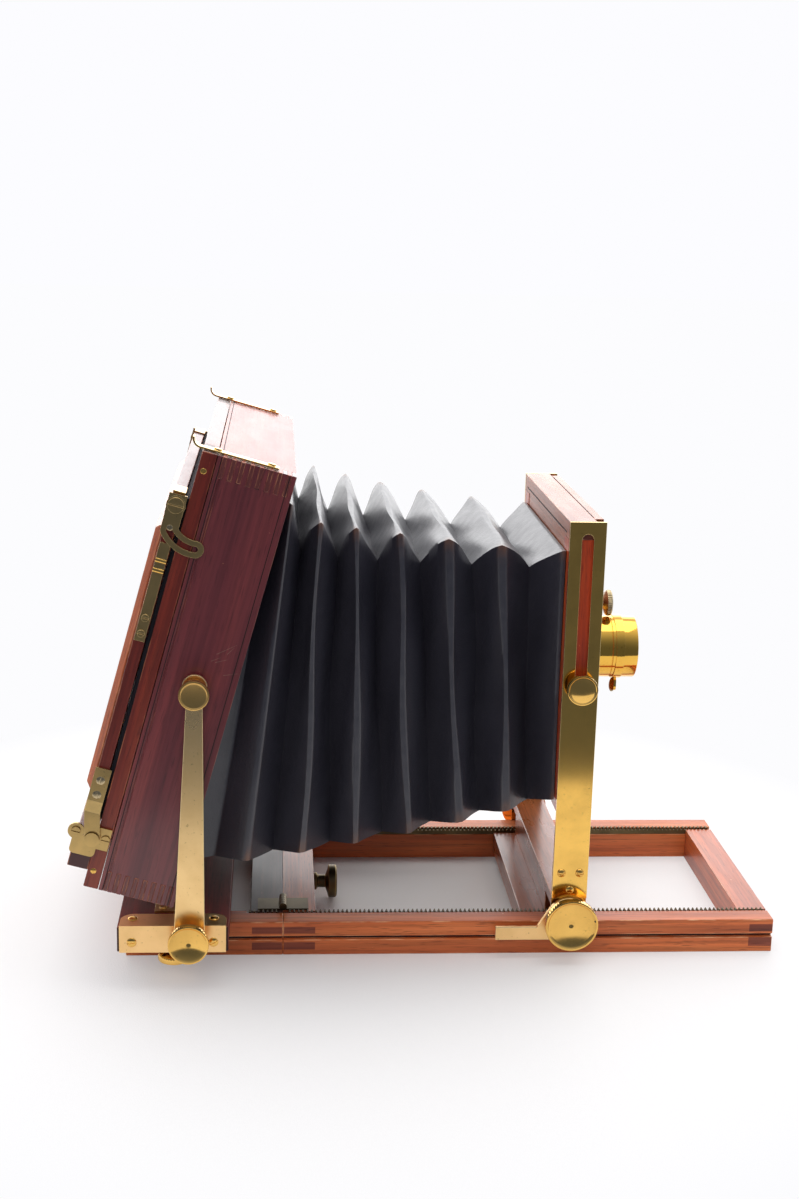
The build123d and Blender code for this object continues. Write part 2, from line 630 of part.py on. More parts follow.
# Back hinges: a bracket with the pin on the board, and a leaf on the front of the box
with BuildPart() as back_hinge_brackets:
    for _, side_sign in SIDES:
        with BuildSketch(outside(1, side_sign * HINGE_Y + HINGE_LENGTH / 2)):
            with BuildLine():
                Polyline(
                    (HINGE_X - HINGE_FOOT, BOARD_TOP),
                    (HINGE_X - HINGE_FOOT, BOARD_TOP + HINGE_LEAF),
                    (HINGE_X - HINGE_LEAF / 2, BOARD_TOP + HINGE_LEAF),
                    (HINGE_X - HINGE_LEAF / 2, HINGE_Z),
                    (HINGE_X + HINGE_LEAF / 2, HINGE_Z),
                    (HINGE_X + HINGE_LEAF / 2, BOARD_TOP),
                    close=True,
                )
            make_face()
        extrude(amount=HINGE_LENGTH)
        third = HINGE_LENGTH / 3
        with Locations(Plane(origin=(HINGE_X, side_sign * HINGE_Y, HINGE_Z), z_dir=(0, 1, 0))):
            Cylinder(HINGE_BARREL + AIR, third, mode=Mode.SUBTRACT)
            Cylinder(HINGE_PIN, HINGE_LENGTH + 1)
        for way in (-1, 1):
            end = side_sign * HINGE_Y + way * third
            with Locations(Plane(origin=(HINGE_X, end, HINGE_Z), z_dir=(0, 1, 0))):
                Cylinder(HINGE_BARREL, third - AIR)
            foot_y = side_sign * HINGE_Y + way * HINGE_SCREW_SPREAD
            foot = (HINGE_X - HINGE_SCREW_BACK, foot_y, BOARD_TOP + HINGE_LEAF)
            screw_head(Plane(foot), 1.6)
finish(back_hinge_brackets.part, "back_hinge_brackets")

with BuildPart(BACK) as back_hinge_leaves:
    for _, side_sign in SIDES:
        third = HINGE_LENGTH / 3 - AIR
        middle = side_sign * HINGE_Y
        rear = BOX_FRONT
        width = (middle - HINGE_LENGTH / 2, middle + HINGE_LENGTH / 2)
        block((rear, rear + HINGE_LEAF), width, (HINGE_LEAF_GAP, HINGE_LEAF_TOP))
        block((rear, rear + HINGE_LEAF), (middle - third / 2, middle + third / 2), (0, HINGE_LEAF_GAP))
        with Locations(Location((0, middle, 0), (90, 0, 0))):
            Cylinder(HINGE_BARREL, third)
            Cylinder(HINGE_PIN + RUN, third, mode=Mode.SUBTRACT)
finish(back_hinge_leaves.part, "back_hinge_leaves")

# Back box: four boards whose fingers interlock at the corners
FINGER = BOX_DEPTH / BOX_FINGERS


def finger_spans(odd: bool) -> list:
    """The stretches along the box's depth that belong to every second finger."""
    spans = []
    for number in range(BOX_FINGERS):
        if (number % 2 == 1) == odd:
            spans.append((BOX_REAR + number * FINGER, BOX_REAR + (number + 1) * FINGER))
    return spans


for side_name, side_sign in SIDES:
    with BuildPart(BACK) as box_side:
        wall = across(side_sign, BOX_HALF - BOX_WALL, BOX_HALF)
        skin = across(side_sign, BOX_HALF - BEAD_DEPTH, BOX_HALF)
        block((BOX_REAR, BOX_FRONT), wall, (BOX_FLOOR, BOX_ROOF))
        for span in finger_spans(True):
            for end in ((BOX_FLOOR, BOX_FLOOR + BOX_WALL), (BOX_ROOF - BOX_WALL, BOX_ROOF)):
                block(span, wall, end, Mode.SUBTRACT)
        score = (BOX_REAR + BOX_BEAD_X, BOX_REAR + BOX_BEAD_X + BEAD_WIDTH)
        block(score, skin, (BOX_FLOOR, BOX_ROOF), Mode.SUBTRACT)
        with Locations(Location((TRUNNION_X, side_sign * BOX_HALF, TRUNNION_Z), (90, 0, 0))):
            Cylinder(SCREW_RADIUS + RUN, 2 * 8.4, mode=Mode.SUBTRACT)
    finish(box_side.part, f"box_side_{side_name}")

for level_name, level in (("bottom", BOX_FLOOR), ("top", BOX_ROOF - BOX_WALL)):
    with BuildPart(BACK) as box_board:
        block((BOX_REAR, BOX_FRONT), (-BOX_HALF, BOX_HALF), (level, level + BOX_WALL))
        for span in finger_spans(False):
            for _, side_sign in SIDES:
                wall = across(side_sign, BOX_HALF - BOX_WALL, BOX_HALF)
                block(span, wall, (level, level + BOX_WALL), Mode.SUBTRACT)
    finish(box_board.part, f"box_{level_name}")

# Spring strips on top of the back, curled up at the rear
for side_name, side_sign in SIDES:
    with BuildPart(BACK) as top_catch:
        front = BOX_FRONT - TOP_STRIP_START
        tail = front - TOP_STRIP_LENGTH
        floor = BOX_ROOF + AIR
        edge = side_sign * TOP_STRIP_Y
        with BuildSketch(outside(1, edge + TOP_STRIP_WIDTH / 2, BACK)):
            with BuildLine():
                Line((front, floor), (tail, floor))
                Line((tail, floor + TOP_STRIP_THICKNESS), (front, floor + TOP_STRIP_THICKNESS))
                Line((front, floor + TOP_STRIP_THICKNESS), (front, floor))
                outer = TOP_CURL_RADIUS
                inner = TOP_CURL_RADIUS - TOP_STRIP_THICKNESS
                lift = CenterArc((tail, floor + outer), outer, 180, 90)
                turn = CenterArc((tail, floor + outer), inner, 180, 90)
                Line(lift @ 0, turn @ 0)
            make_face()
        extrude(amount=TOP_STRIP_WIDTH)
        head_z = floor + TOP_STRIP_THICKNESS + SCREW_HEAD_HEIGHT / 2
        with Locations((front - 3.2, edge, head_z), (tail + 7.5, edge, head_z)):
            Cylinder(1.7, SCREW_HEAD_HEIGHT)
    finish(top_catch.part, f"top_catch_{side_name}")

# Reversing back: two stiles, a top rail, and a bottom rail with the ledge
with BuildPart(BACK) as reversing_stiles:
    for _, side_sign in SIDES:
        bar = across(side_sign, BOX_HALF - REVERSING_BAR, BOX_HALF)
        block((REVERSING_REAR, REVERSING_FRONT), bar, (BOX_FLOOR, BOX_ROOF))
finish(reversing_stiles.part, "reversing_stiles")

with BuildPart(BACK) as reversing_top_rail:
    inner = BOX_HALF - REVERSING_BAR
    block((REVERSING_REAR, REVERSING_FRONT), (-inner, inner), (BOX_ROOF - REVERSING_BAR, BOX_ROOF))
finish(reversing_top_rail.part, "reversing_top_rail")

with BuildPart(BACK) as reversing_bottom_rail:
    inner = BOX_HALF - REVERSING_BAR
    block((REVERSING_REAR, REVERSING_FRONT), (-inner, inner), (BOX_FLOOR, BOX_FLOOR + REVERSING_BAR))
    block((REVERSING_REAR - LEDGE_DEPTH, REVERSING_REAR), (-BOX_HALF, BOX_HALF), (LEDGE_BOTTOM, LEDGE_TOP))
finish(reversing_bottom_rail.part, "reversing_bottom_rail")

# Hinge plates of the screen, with their pivot pins and fixing screws
with BuildPart(BACK) as screen_hinge_plates:
    for _, side_sign in SIDES:
        with BuildSketch(outside(side_sign, BOX_HALF, BACK)):
            with Locations(((REVERSING_FRONT + SCREEN_PIN_X) / 2, SCREEN_PIN_Z)):
                Rectangle(REVERSING_FRONT - SCREEN_PIN_X - 1, 10)
            with Locations((REVERSING_REAR - LEDGE_DEPTH / 2, LEDGE_TOP + 1.5)):
                RectangleRounded(LEDGE_DEPTH + 2, 9, 2)
            with Locations((REVERSING_REAR - LEDGE_DEPTH, SCREEN_PIN_Z + 1)):
                Circle(3.6)
        extrude(amount=-side_sign * HINGE_PLATE_THICKNESS)
        outer = BOX_HALF + HINGE_PLATE_THICKNESS
        pivot = facing(side_sign, SCREEN_PIN_X, outer, SCREEN_PIN_Z, BACK)
        with BuildSketch(pivot):
            Circle(SCREEN_PIN_RADIUS)
        extrude(amount=STRAP_Y - outer + STRAP_THICKNESS + AIR)
        with BuildSketch(pivot.offset(STRAP_Y - outer + STRAP_THICKNESS + AIR)):
            Circle(2 * SCREEN_PIN_RADIUS)
        extrude(amount=SCREW_HEAD_HEIGHT)
        for back_x, back_z in ((REVERSING_FRONT - 2.4, 0), (REVERSING_REAR - LEDGE_DEPTH, 1)):
            screw_head(facing(side_sign, back_x, outer, SCREEN_PIN_Z + back_z, BACK), 2.0)
finish(screen_hinge_plates.part, "screen_hinge_plates")

# Focusing screen: stiles, head and sill round the ground glass, with mitred bevelled beads behind it
STILE_INNER = SCREEN_HALF - SCREEN_STILE
OPENING_FLOOR = SCREEN_FLOOR + SCREEN_SILL
OPENING_ROOF = SCREEN_ROOF - SCREEN_HEAD

with BuildPart(BACK) as screen_stiles:
    for _, side_sign in SIDES:
        stile = across(side_sign, STILE_INNER, SCREEN_HALF)
        block((SCREEN_REAR, SCREEN_FRONT), stile, (SCREEN_FLOOR, SCREEN_ROOF))
finish(screen_stiles.part, "screen_stiles")

with BuildPart(BACK) as screen_rails:
    block((SCREEN_REAR, SCREEN_FRONT), (-STILE_INNER, STILE_INNER), (SCREEN_FLOOR, OPENING_FLOOR))
    block((SCREEN_REAR, SCREEN_FRONT), (-STILE_INNER, STILE_INNER), (OPENING_ROOF, SCREEN_ROOF))
finish(screen_rails.part, "screen_rails")

with BuildPart(BACK) as ground_glass:
    span = STILE_INNER - GLASS_ROOM
    block(
        (SCREEN_REAR, SCREEN_REAR + GLASS_THICKNESS),
        (-span, span),
        (OPENING_FLOOR + GLASS_ROOM, OPENING_ROOF - GLASS_ROOM),
    )
finish(ground_glass.part, "ground_glass")

with BuildPart(BACK) as glazing_beads:
    bead_plane = seated(Plane((SCREEN_REAR, 0, 0), x_dir=(0, -1, 0), z_dir=(-1, 0, 0)), BACK)
    middle = (OPENING_FLOOR + OPENING_ROOF) / 2
    tall = OPENING_ROOF - OPENING_FLOOR - 2 * BEAD_LAP
    wide = 2 * (STILE_INNER - BEAD_LAP)
    with BuildSketch(bead_plane):
        with Locations((0, middle)):
            Rectangle(wide + 2 * BEAD_STRIP, tall + 2 * BEAD_STRIP)
            Rectangle(wide, tall, mode=Mode.SUBTRACT)
    extrude(amount=BEAD_PROUD)
    rear_face = glazing_beads.faces().sort_by(Axis(bead_plane.origin, bead_plane.z_dir))[-1]
    chamfer(rear_face.edges(), BEAD_BEVEL)
    for across_sign in (-1, 1):
        for up_sign in (-1, 1):
            corner = (across_sign * (wide + BEAD_STRIP) / 2, middle + up_sign * (tall + BEAD_STRIP) / 2)
            with BuildSketch(bead_plane):
                with Locations(corner):
                    Rectangle(3 * BEAD_STRIP, BEAD_MITRE, rotation=45 * across_sign * up_sign)
            extrude(amount=BEAD_PROUD, mode=Mode.SUBTRACT)
finish(glazing_beads.part, "glazing_beads")

# Screen hinge straps: a side outline crossed with a joggled edge outline
def hinge_strap(sign: int) -> Part:
    """One strap: its outline seen from the side, kept only where the joggled strip runs."""
    step = SCREEN_FLOOR + STRAP_JOGGLE
    with BuildPart() as strap:
        with BuildSketch(outside(sign, SCREEN_HALF, BACK)):
            neck = SCREEN_FLOOR + STRAP_NECK
            half = STRAP_WIDTH / 2
            with Locations((STRAP_X, (STRAP_TOP + neck) / 2)):
                Rectangle(STRAP_WIDTH, STRAP_TOP - neck)
            with BuildLine():
                Polyline(
                    (STRAP_X - half, neck),
                    (STRAP_X + half, neck),
                    (SCREEN_PIN_X + STRAP_EYE, SCREEN_PIN_Z),
                    (SCREEN_PIN_X - STRAP_EYE, SCREEN_PIN_Z),
                    close=True,
                )
            make_face()
            with Locations((SCREEN_PIN_X, SCREEN_PIN_Z)):
                Circle(STRAP_EYE)
            with Locations((SCREEN_PIN_X, SCREEN_PIN_Z)):
                Circle(SCREEN_PIN_RADIUS + RUN, mode=Mode.SUBTRACT)
        extrude(amount=-sign * (STRAP_Y + STRAP_THICKNESS - SCREEN_HALF))
        behind = Plane((SCREEN_REAR - 5, 0, 0), x_dir=(0, 1, 0), z_dir=(1, 0, 0))
        with BuildSketch(seated(behind, BACK)):
            with BuildLine():
                Polyline(
                    (sign * SCREEN_HALF, STRAP_TOP),
                    (sign * (SCREEN_HALF + STRAP_THICKNESS), STRAP_TOP),
                    (sign * (SCREEN_HALF + STRAP_THICKNESS), step + 6),
                    (sign * (STRAP_Y + STRAP_THICKNESS), step + 2),
                    (sign * (STRAP_Y + STRAP_THICKNESS), SCREEN_PIN_Z - 5),
                    (sign * STRAP_Y, SCREEN_PIN_Z - 5),
                    (sign * STRAP_Y, step + 1.4),
                    (sign * SCREEN_HALF, step + 5.4),
                    close=True,
                )
            make_face()
        extrude(amount=20, mode=Mode.INTERSECT)
    return strap.part


STRAPS = [hinge_strap(side_sign) for _, side_sign in SIDES]

with BuildPart() as hinge_straps:
    add(STRAPS)
finish(hinge_straps.part, "hinge_straps")

with BuildPart(BACK) as catch_springs:
    for _, side_sign in SIDES:
        low = SPRING_TOP - SPRING_LENGTH
        block(
            (STRAP_X - SPRING_WIDTH / 2, STRAP_X + SPRING_WIDTH / 2),
            across(side_sign, SCREEN_HALF, SCREEN_HALF + SPRING_THICKNESS),
            (low, SPRING_TOP),
        )
        for place in (low + 3.5, low + 10.5):
            screw_head(facing(side_sign, STRAP_X, SCREEN_HALF + SPRING_THICKNESS, place, BACK), 1.6)
finish(catch_springs.part, "catch_springs")

# Screen catches: slotted hooks that turn on a large screw
for side_name, side_sign in SIDES:
    with BuildPart(BACK) as screen_catch:
        with BuildSketch(outside(side_sign, CATCH_Y, BACK)):
            with Locations((STRAP_X, CATCH_Z)):
                Circle(CATCH_WIDTH / 2 + 0.4)
            with Locations((STRAP_X, CATCH_Z - CATCH_DROP / 2)):
                Rectangle(CATCH_WIDTH, CATCH_DROP)
            with BuildLine(mode=Mode.PRIVATE) as hook:
                bend = (STRAP_X, CATCH_Z - CATCH_DROP)
                RadiusArc(bend, (STRAP_X + CATCH_REACH, CATCH_Z - CATCH_DROP - 5), -14)
            SlotArc(hook.edge(), CATCH_WIDTH)
            SlotArc(hook.edge(), CATCH_SLOT, mode=Mode.SUBTRACT)
        extrude(amount=-side_sign * CATCH_THICKNESS)
        with BuildSketch(facing(side_sign, STRAP_X, SCREEN_HALF + AIR, CATCH_Z, BACK)):
            Circle(CATCH_SCREW_RADIUS)
        extrude(amount=CATCH_Y - SCREEN_HALF - AIR + 0.2)
        screw_head(facing(side_sign, STRAP_X, CATCH_Y + CATCH_THICKNESS, CATCH_Z, BACK), CATCH_SCREW_RADIUS)
    finish(screen_catch.part, f"screen_catch_{side_name}")

# Carriage between the rails, and the sill that carries the standard over them
AXLE = Plane(origin=(STANDARD_X, 0, AXLE_Z), x_dir=(1, 0, 0), z_dir=(0, 1, 0))

with BuildPart() as carriage_board:
    start = STANDARD_X - CARRIAGE_BACK
    block((start, start + CARRIAGE_LENGTH), (-BED_INNER + 0.5, BED_INNER - 0.5), (CARRIAGE_Z, CARRIAGE_TOP))
finish(carriage_board.part, "carriage_board")

with BuildPart() as standard_sill:
    half = UPRIGHT_WIDTH / 2
    web = BED_INNER - 1.6
    block((STANDARD_X - half, STANDARD_X + half), (-web, web), (CARRIAGE_TOP, SILL_TOP_Z))
    block((STANDARD_X - half, STANDARD_X + half), (-SHOE_Y, SHOE_Y), (SILL_FLANGE_Z, SILL_TOP_Z))
    with Locations(AXLE):
        Cylinder(SHAFT_RADIUS + RUN, BED_WIDTH, mode=Mode.SUBTRACT)
finish(standard_sill.part, "standard_sill")

with BuildPart() as rail_shoes:
    half = UPRIGHT_WIDTH / 2
    tongue = (GROOVE_Z - TONGUE_HEIGHT / 2, GROOVE_Z + TONGUE_HEIGHT / 2)
    for _, side_sign in SIDES:
        length = (STANDARD_X - half, STANDARD_X + half)
        block(length, across(side_sign, SHOE_Y, UPRIGHT_Y), (SHOE_BOTTOM_Z, SHOE_TOP_Z))
        block(length, across(side_sign, BED_HALF - TONGUE_DEPTH, SHOE_Y), tongue)
    with Locations(AXLE):
        Cylinder(SHAFT_RADIUS + RUN, 3 * BED_WIDTH, mode=Mode.SUBTRACT)
finish(rail_shoes.part, "rail_shoes")

with BuildPart() as uprights:
    for _, side_sign in SIDES:
        with BuildSketch(outside(side_sign, UPRIGHT_Y)):
            with Locations((STANDARD_X, (UPRIGHT_FOOT_Z + UPRIGHT_TOP_Z) / 2)):
                Rectangle(UPRIGHT_WIDTH, UPRIGHT_TOP_Z - UPRIGHT_FOOT_Z)
            low = RISE_KNOB_Z - SLOT_WIDTH / 2
            with Locations((STANDARD_X, (low + SLOT_TOP_Z) / 2)):
                SlotOverall(SLOT_TOP_Z - low, SLOT_WIDTH, rotation=90, mode=Mode.SUBTRACT)
        extrude(amount=-side_sign * UPRIGHT_THICKNESS)
finish(uprights.part, "uprights")

with BuildPart() as upright_screws:
    for _, side_sign in SIDES:
        for along, lift in ((-1, UPRIGHT_SCREW_HIGH), (1, UPRIGHT_SCREW_HIGH), (0, UPRIGHT_SCREW_LOW)):
            place = STANDARD_X + along * UPRIGHT_SCREW_SPREAD
            seat = facing(side_sign, place, UPRIGHT_OUT, UPRIGHT_FOOT_Z + lift)
            screw_head(seat, 2.0)
finish(upright_screws.part, "upright_screws")

# Pinion shaft: two small pinions on one axle, a tooth of each pointing down into a gap of its rack
PINION_TOOTH = [
    (0, -TOOTH_SHARE * PITCH / 2 - DEDENDUM * 0.05),
    (PINION_RADIUS, -TOOTH_SHARE * PITCH / 2),
    (PINION_RADIUS + ADDENDUM, -TOOTH_SHARE * PITCH / 2 + ADDENDUM * 0.42),
    (PINION_RADIUS + ADDENDUM, TOOTH_SHARE * PITCH / 2 - ADDENDUM * 0.42),
    (PINION_RADIUS, TOOTH_SHARE * PITCH / 2),
    (0, TOOTH_SHARE * PITCH / 2 + DEDENDUM * 0.05),
]

with BuildPart() as pinion_shaft:
    with Locations(AXLE):
        Cylinder(SHAFT_RADIUS, 2 * (KNOB_Y + 1))
    for _, side_sign in SIDES:
        inner = side_sign * (BED_INNER + 0.2)
        with BuildSketch(Plane((STANDARD_X, inner, AXLE_Z), x_dir=(1, 0, 0), z_dir=(0, side_sign, 0))):
            Circle(PINION_RADIUS - DEDENDUM)
            with PolarLocations(0, PINION_TEETH, start_angle=-90):
                Polygon(*PINION_TOOTH, align=None)
        extrude(amount=PINION_WIDTH)
finish(pinion_shaft.part, "pinion_shaft")

with BuildPart() as focus_knobs:
    for side_name, side_sign in SIDES:
        seat = KNOB_Y if side_sign < 0 else UPRIGHT_Y + AIR
        plane = facing(side_sign, STANDARD_X, seat, AXLE_Z)
        stem = KNOB_Y - seat + 2.6
        turned(
            [
                (SHAFT_RADIUS, 0),
                (KNOB_BOSS, 0),
                (KNOB_BOSS, stem),
                (KNOB_RADIUS * 0.9, stem + 1.0),
                (KNOB_RADIUS, stem + 1.8),
                (KNOB_RADIUS, stem + KNOB_THICKNESS - 0.4),
                (KNOB_RADIUS - 0.4, stem + KNOB_THICKNESS),
                (KNOB_RADIUS - 1.6, stem + KNOB_THICKNESS),
                (KNOB_RADIUS * 0.55, stem + KNOB_THICKNESS - 2.2),
                (SHAFT_RADIUS, stem + KNOB_THICKNESS - 2.6),
            ],
            plane,
        )
finish(focus_knobs.part, "focus_knobs")

with BuildPart() as lock_lever:
    with BuildSketch(outside(-1, LEVER_Y)):
        with Locations((STANDARD_X, AXLE_Z)):
            Circle(LEVER_HUB)
        with Locations((STANDARD_X - LEVER_REACH / 2, AXLE_Z - LEVER_HUB + LEVER_BAR / 2)):
            Rectangle(LEVER_REACH, LEVER_BAR)
        with Locations((STANDARD_X, AXLE_Z)):
            Circle(SHAFT_RADIUS + RUN, mode=Mode.SUBTRACT)
    extrude(amount=LEVER_THICKNESS)
    with BuildSketch(outside(-1, UPRIGHT_Y + AIR)):
        with Locations((STANDARD_X, AXLE_Z)):
            Circle(KNOB_BOSS)
            Circle(SHAFT_RADIUS + RUN, mode=Mode.SUBTRACT)
    extrude(amount=LEVER_Y - UPRIGHT_Y - AIR)
finish(lock_lever.part, "lock_lever")

# Rising front: a wooden frame that slides up between the uprights, with the lens panel in its face
STILE_IN = FRONT_HALF - FRONT_STILE
FRONT_TOP_Z = UPRIGHT_TOP_Z

with BuildPart() as front_stiles:
    for _, side_sign in SIDES:
        stile = across(side_sign, STILE_IN, FRONT_HALF)
        block((FRONT_REAR_X, PANEL_X), stile, (FRONT_FLOOR_Z, FRONT_TOP_Z - FRONT_RAIL))
        with Locations(facing(side_sign, STANDARD_X, FRONT_HALF, RISE_KNOB_Z)):
            Cylinder(SCREW_RADIUS + RUN, 2 * 9, mode=Mode.SUBTRACT)
finish(front_stiles.part, "front_stiles")

with BuildPart() as front_crosspieces:
    block((FRONT_REAR_X, PANEL_X), (-FRONT_HALF, FRONT_HALF), (FRONT_TOP_Z - FRONT_RAIL, FRONT_TOP_Z))
    block((FRONT_REAR_X, PANEL_X), (-STILE_IN, STILE_IN), (FRONT_FLOOR_Z, FRONT_FLOOR_Z + FRONT_STILE))
finish(front_crosspieces.part, "front_crosspieces")

LENS_AXIS = Plane(origin=(PANEL_FACE_X, 0, LENS_Z), x_dir=(0, 1, 0), z_dir=(1, 0, 0))
PANEL_SCREW = Plane(origin=(PANEL_FACE_X, 0, LENS_Z + PANEL_SCREW_RISE), x_dir=(0, 1, 0), z_dir=(1, 0, 0))

with BuildPart() as lens_panel:
    edge = FRONT_HALF - PANEL_EDGE
    block((PANEL_X, PANEL_FACE_X), (-edge, edge), (FRONT_FLOOR_Z, FRONT_TOP_Z))
    with BuildSketch(LENS_AXIS):
        Circle(LENS_CELL_RADIUS + 0.2)
    extrude(amount=-PANEL_THICKNESS, mode=Mode.SUBTRACT)
    with BuildSketch(PANEL_SCREW):
        Circle(SCREW_RADIUS + RUN)
    extrude(amount=-PANEL_THICKNESS, mode=Mode.SUBTRACT)
finish(lens_panel.part, "lens_panel")

with BuildPart() as lens_barrel:
    turned(
        [
            (LENS_BORE - 1, -LENS_CELL_LENGTH),
            (LENS_CELL_RADIUS, -LENS_CELL_LENGTH),
            (LENS_CELL_RADIUS, 0),
            (LENS_FLANGE_RADIUS - 0.4, 0),
            (LENS_FLANGE_RADIUS, 0.4),
            (LENS_FLANGE_RADIUS, LENS_FLANGE),
            (LENS_RADIUS - 0.6, LENS_FLANGE + 0.8),
            (LENS_RADIUS - 0.6, IRIS_FORWARD + IRIS_WIDTH + 1),
            (LENS_RADIUS, IRIS_FORWARD + IRIS_WIDTH + 1.6),
            (LENS_RADIUS, LENS_LENGTH - 0.6),
            (LENS_RADIUS - 0.6, LENS_LENGTH),
            (LENS_BORE + 1.4, LENS_LENGTH),
            (LENS_BORE, LENS_LENGTH - 6),
            (LENS_BORE - 1, LENS_LENGTH - 8),
        ],
        LENS_AXIS,
    )
finish(lens_barrel.part, "lens_barrel")

with BuildPart() as lens_glasses:
    rim = LENS_BORE - 1
    for place, way in ((LENS_LENGTH - 12, 1), (-LENS_CELL_LENGTH + 4, -1)):
        seat = Plane((PANEL_FACE_X + place, 0, LENS_Z), x_dir=(0, 1, 0), z_dir=(way, 0, 0))
        dome = []
        for share in (1.0, 0.75, 0.5, 0.25, 0.0):
            dome.append((rim * share, GLASS_EDGE + GLASS_BULGE * (1 - share**2)))
        turned([(0, 0), (rim, 0)] + dome, seat)
finish(lens_glasses.part, "lens_glasses")

with BuildPart() as iris_lever:
    ring = LENS_AXIS.offset(IRIS_FORWARD)
    with BuildSketch(ring):
        Circle(LENS_RADIUS - 0.6 + RUN + IRIS_RING)
        Circle(LENS_RADIUS - 0.6 + RUN, mode=Mode.SUBTRACT)
    extrude(amount=IRIS_WIDTH)
    reach = (LENS_Z - LENS_RADIUS - 0.4, LENS_Z - IRIS_REACH)
    leaf_x = ring.origin.X + IRIS_WIDTH / 2
    with BuildSketch(Plane((leaf_x, 0, 0), x_dir=(0, 1, 0), z_dir=(1, 0, 0))):
        with Locations((0, (reach[0] + reach[1]) / 2)):
            RectangleRounded(6.0, reach[0] - reach[1], 2.4)
        with Locations((0, reach[0] + 0.2)):
            Rectangle(4.4, 1.4)
    extrude(amount=IRIS_LEAF)
finish(iris_lever.part, "iris_lever")

with BuildPart() as panel_screw:
    turned(
        [
            (0, -PANEL_THICKNESS),
            (SCREW_RADIUS, -PANEL_THICKNESS),
            (SCREW_RADIUS, AIR),
            (3.0, AIR),
            (2.4, PANEL_SCREW_STEM),
            (PANEL_SCREW_HEAD - 0.5, PANEL_SCREW_STEM),
            (PANEL_SCREW_HEAD - 0.5, PANEL_SCREW_STEM + PANEL_SCREW_HEAD_THICKNESS),
            (0, PANEL_SCREW_STEM + PANEL_SCREW_HEAD_THICKNESS),
        ],
        PANEL_SCREW,
    )
    with BuildSketch(PANEL_SCREW.offset(PANEL_SCREW_STEM)):
        with PolarLocations(PANEL_SCREW_HEAD - 0.6, 24):
            Rectangle(1.0, 0.8)
    extrude(amount=PANEL_SCREW_HEAD_THICKNESS)
finish(panel_screw.part, "panel_screw")

for side_name, side_sign in SIDES:
    with BuildPart() as rise_knob:
        seat = facing(side_sign, STANDARD_X, UPRIGHT_OUT + AIR, RISE_KNOB_Z)
        clamp_knob(seat, UPRIGHT_OUT + AIR - FRONT_HALF + 8.5, 2.0, RISE_KNOB_RADIUS, 4.6)
    finish(rise_knob.part, f"rise_knob_{side_name}")


# Bellows: a ruled loft through ridge and valley rings, hollow, open at both ends
MOUTH_TOP = BACK.from_local_coords((BOX_FRONT + BELLOWS_MOUTH, 0, BOX_ROOF - BOX_WALL - BELLOWS_TOP_GAP))


def ring(share: float, fold: float, wall: float) -> tuple:
    """The plane and size of one ring: share 0 is at the back's mouth, and fold is 0 on a ridge and 1 in a valley."""
    fan = FAN_SHARE * share + (1 - FAN_SHARE) * share**2
    end_x = FRONT_REAR_X - AIR
    top_x = MOUTH_TOP.X + (end_x - MOUTH_TOP.X) * fan
    top_z = BELLOWS_FRONT_TOP + (MOUTH_TOP.Z - BELLOWS_FRONT_TOP) * (1 - share) ** TOP_POWER
    top = Vector(top_x, 0, top_z)
    bow = FLOOR_BOW * share * (1 - share)
    low_x = BELLOWS_MOUTH_BOTTOM_X + (end_x - BELLOWS_MOUTH_BOTTOM_X) * share + bow
    low_z = BELLOWS_MOUTH_BOTTOM_Z + (BELLOWS_FRONT_BOTTOM - BELLOWS_MOUTH_BOTTOM_Z) * share**BOTTOM_POWER
    low = Vector(low_x, 0, low_z)
    spread = (BELLOWS_REAR_HALF - BELLOWS_FRONT_HALF) * (1 - share) ** TAPER_POWER
    half = BELLOWS_FRONT_HALF + spread - fold * PLEAT_DEPTH - wall
    rise = (top - low).normalized()
    roof_depth = ROOF_DEPTH_REAR + (ROOF_DEPTH_FRONT - ROOF_DEPTH_REAR) * share
    top = top - rise * (fold * roof_depth + wall)
    low = low + rise * (fold * FLOOR_DEPTH + wall)
    plane = Plane(origin=(top + low) * 0.5, x_dir=(0, 1, 0), z_dir=Vector(0, 1, 0).cross(rise))
    return plane, 2 * half, (top - low).length


def pleats(wall: float) -> list:
    """Every ring in order, drawn in by the wall, ready to be lofted."""
    inside = BACK.from_local_coords((BOX_REAR + 6, 0, BOX_FLOOR + BOX_SIZE / 2))
    with BuildSketch(Plane(origin=inside, x_dir=(0, 1, 0), z_dir=BACK.x_dir)) as rear:
        Rectangle(2 * (BOX_HALF - BOX_WALL - wall), BOX_SIZE - 2 * BOX_WALL - 2 * wall)
    rings = [rear.sketch]
    for number in range(2 * RIDGES - 1):
        plane, width, height = ring(number / (2 * RIDGES - 2), number % 2, wall)
        with BuildSketch(plane) as outline:
            Rectangle(width, height)
        rings.append(outline.sketch)
    return rings


with BuildPart() as bellows:
    loft(pleats(0), ruled=True)
    loft(pleats(BELLOWS_WALL), ruled=True, mode=Mode.SUBTRACT)
finish(bellows.part, "bellows")
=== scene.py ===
"""Half-plate field camera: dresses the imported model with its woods, brass and leather, and lights it.

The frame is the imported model's own: metres, X along the lens axis towards the subject, Z up, and the
right-hand side of the camera at -Y. Sizes whose names end in mm are in millimetres; MM makes them metres.
"""

import json
import logging
import math
from dataclasses import dataclass, field
from enum import Enum
from typing import Dict, List, Optional, Sequence, Tuple, Union

import bmesh
import bpy
import numpy as np
from mathutils import Matrix

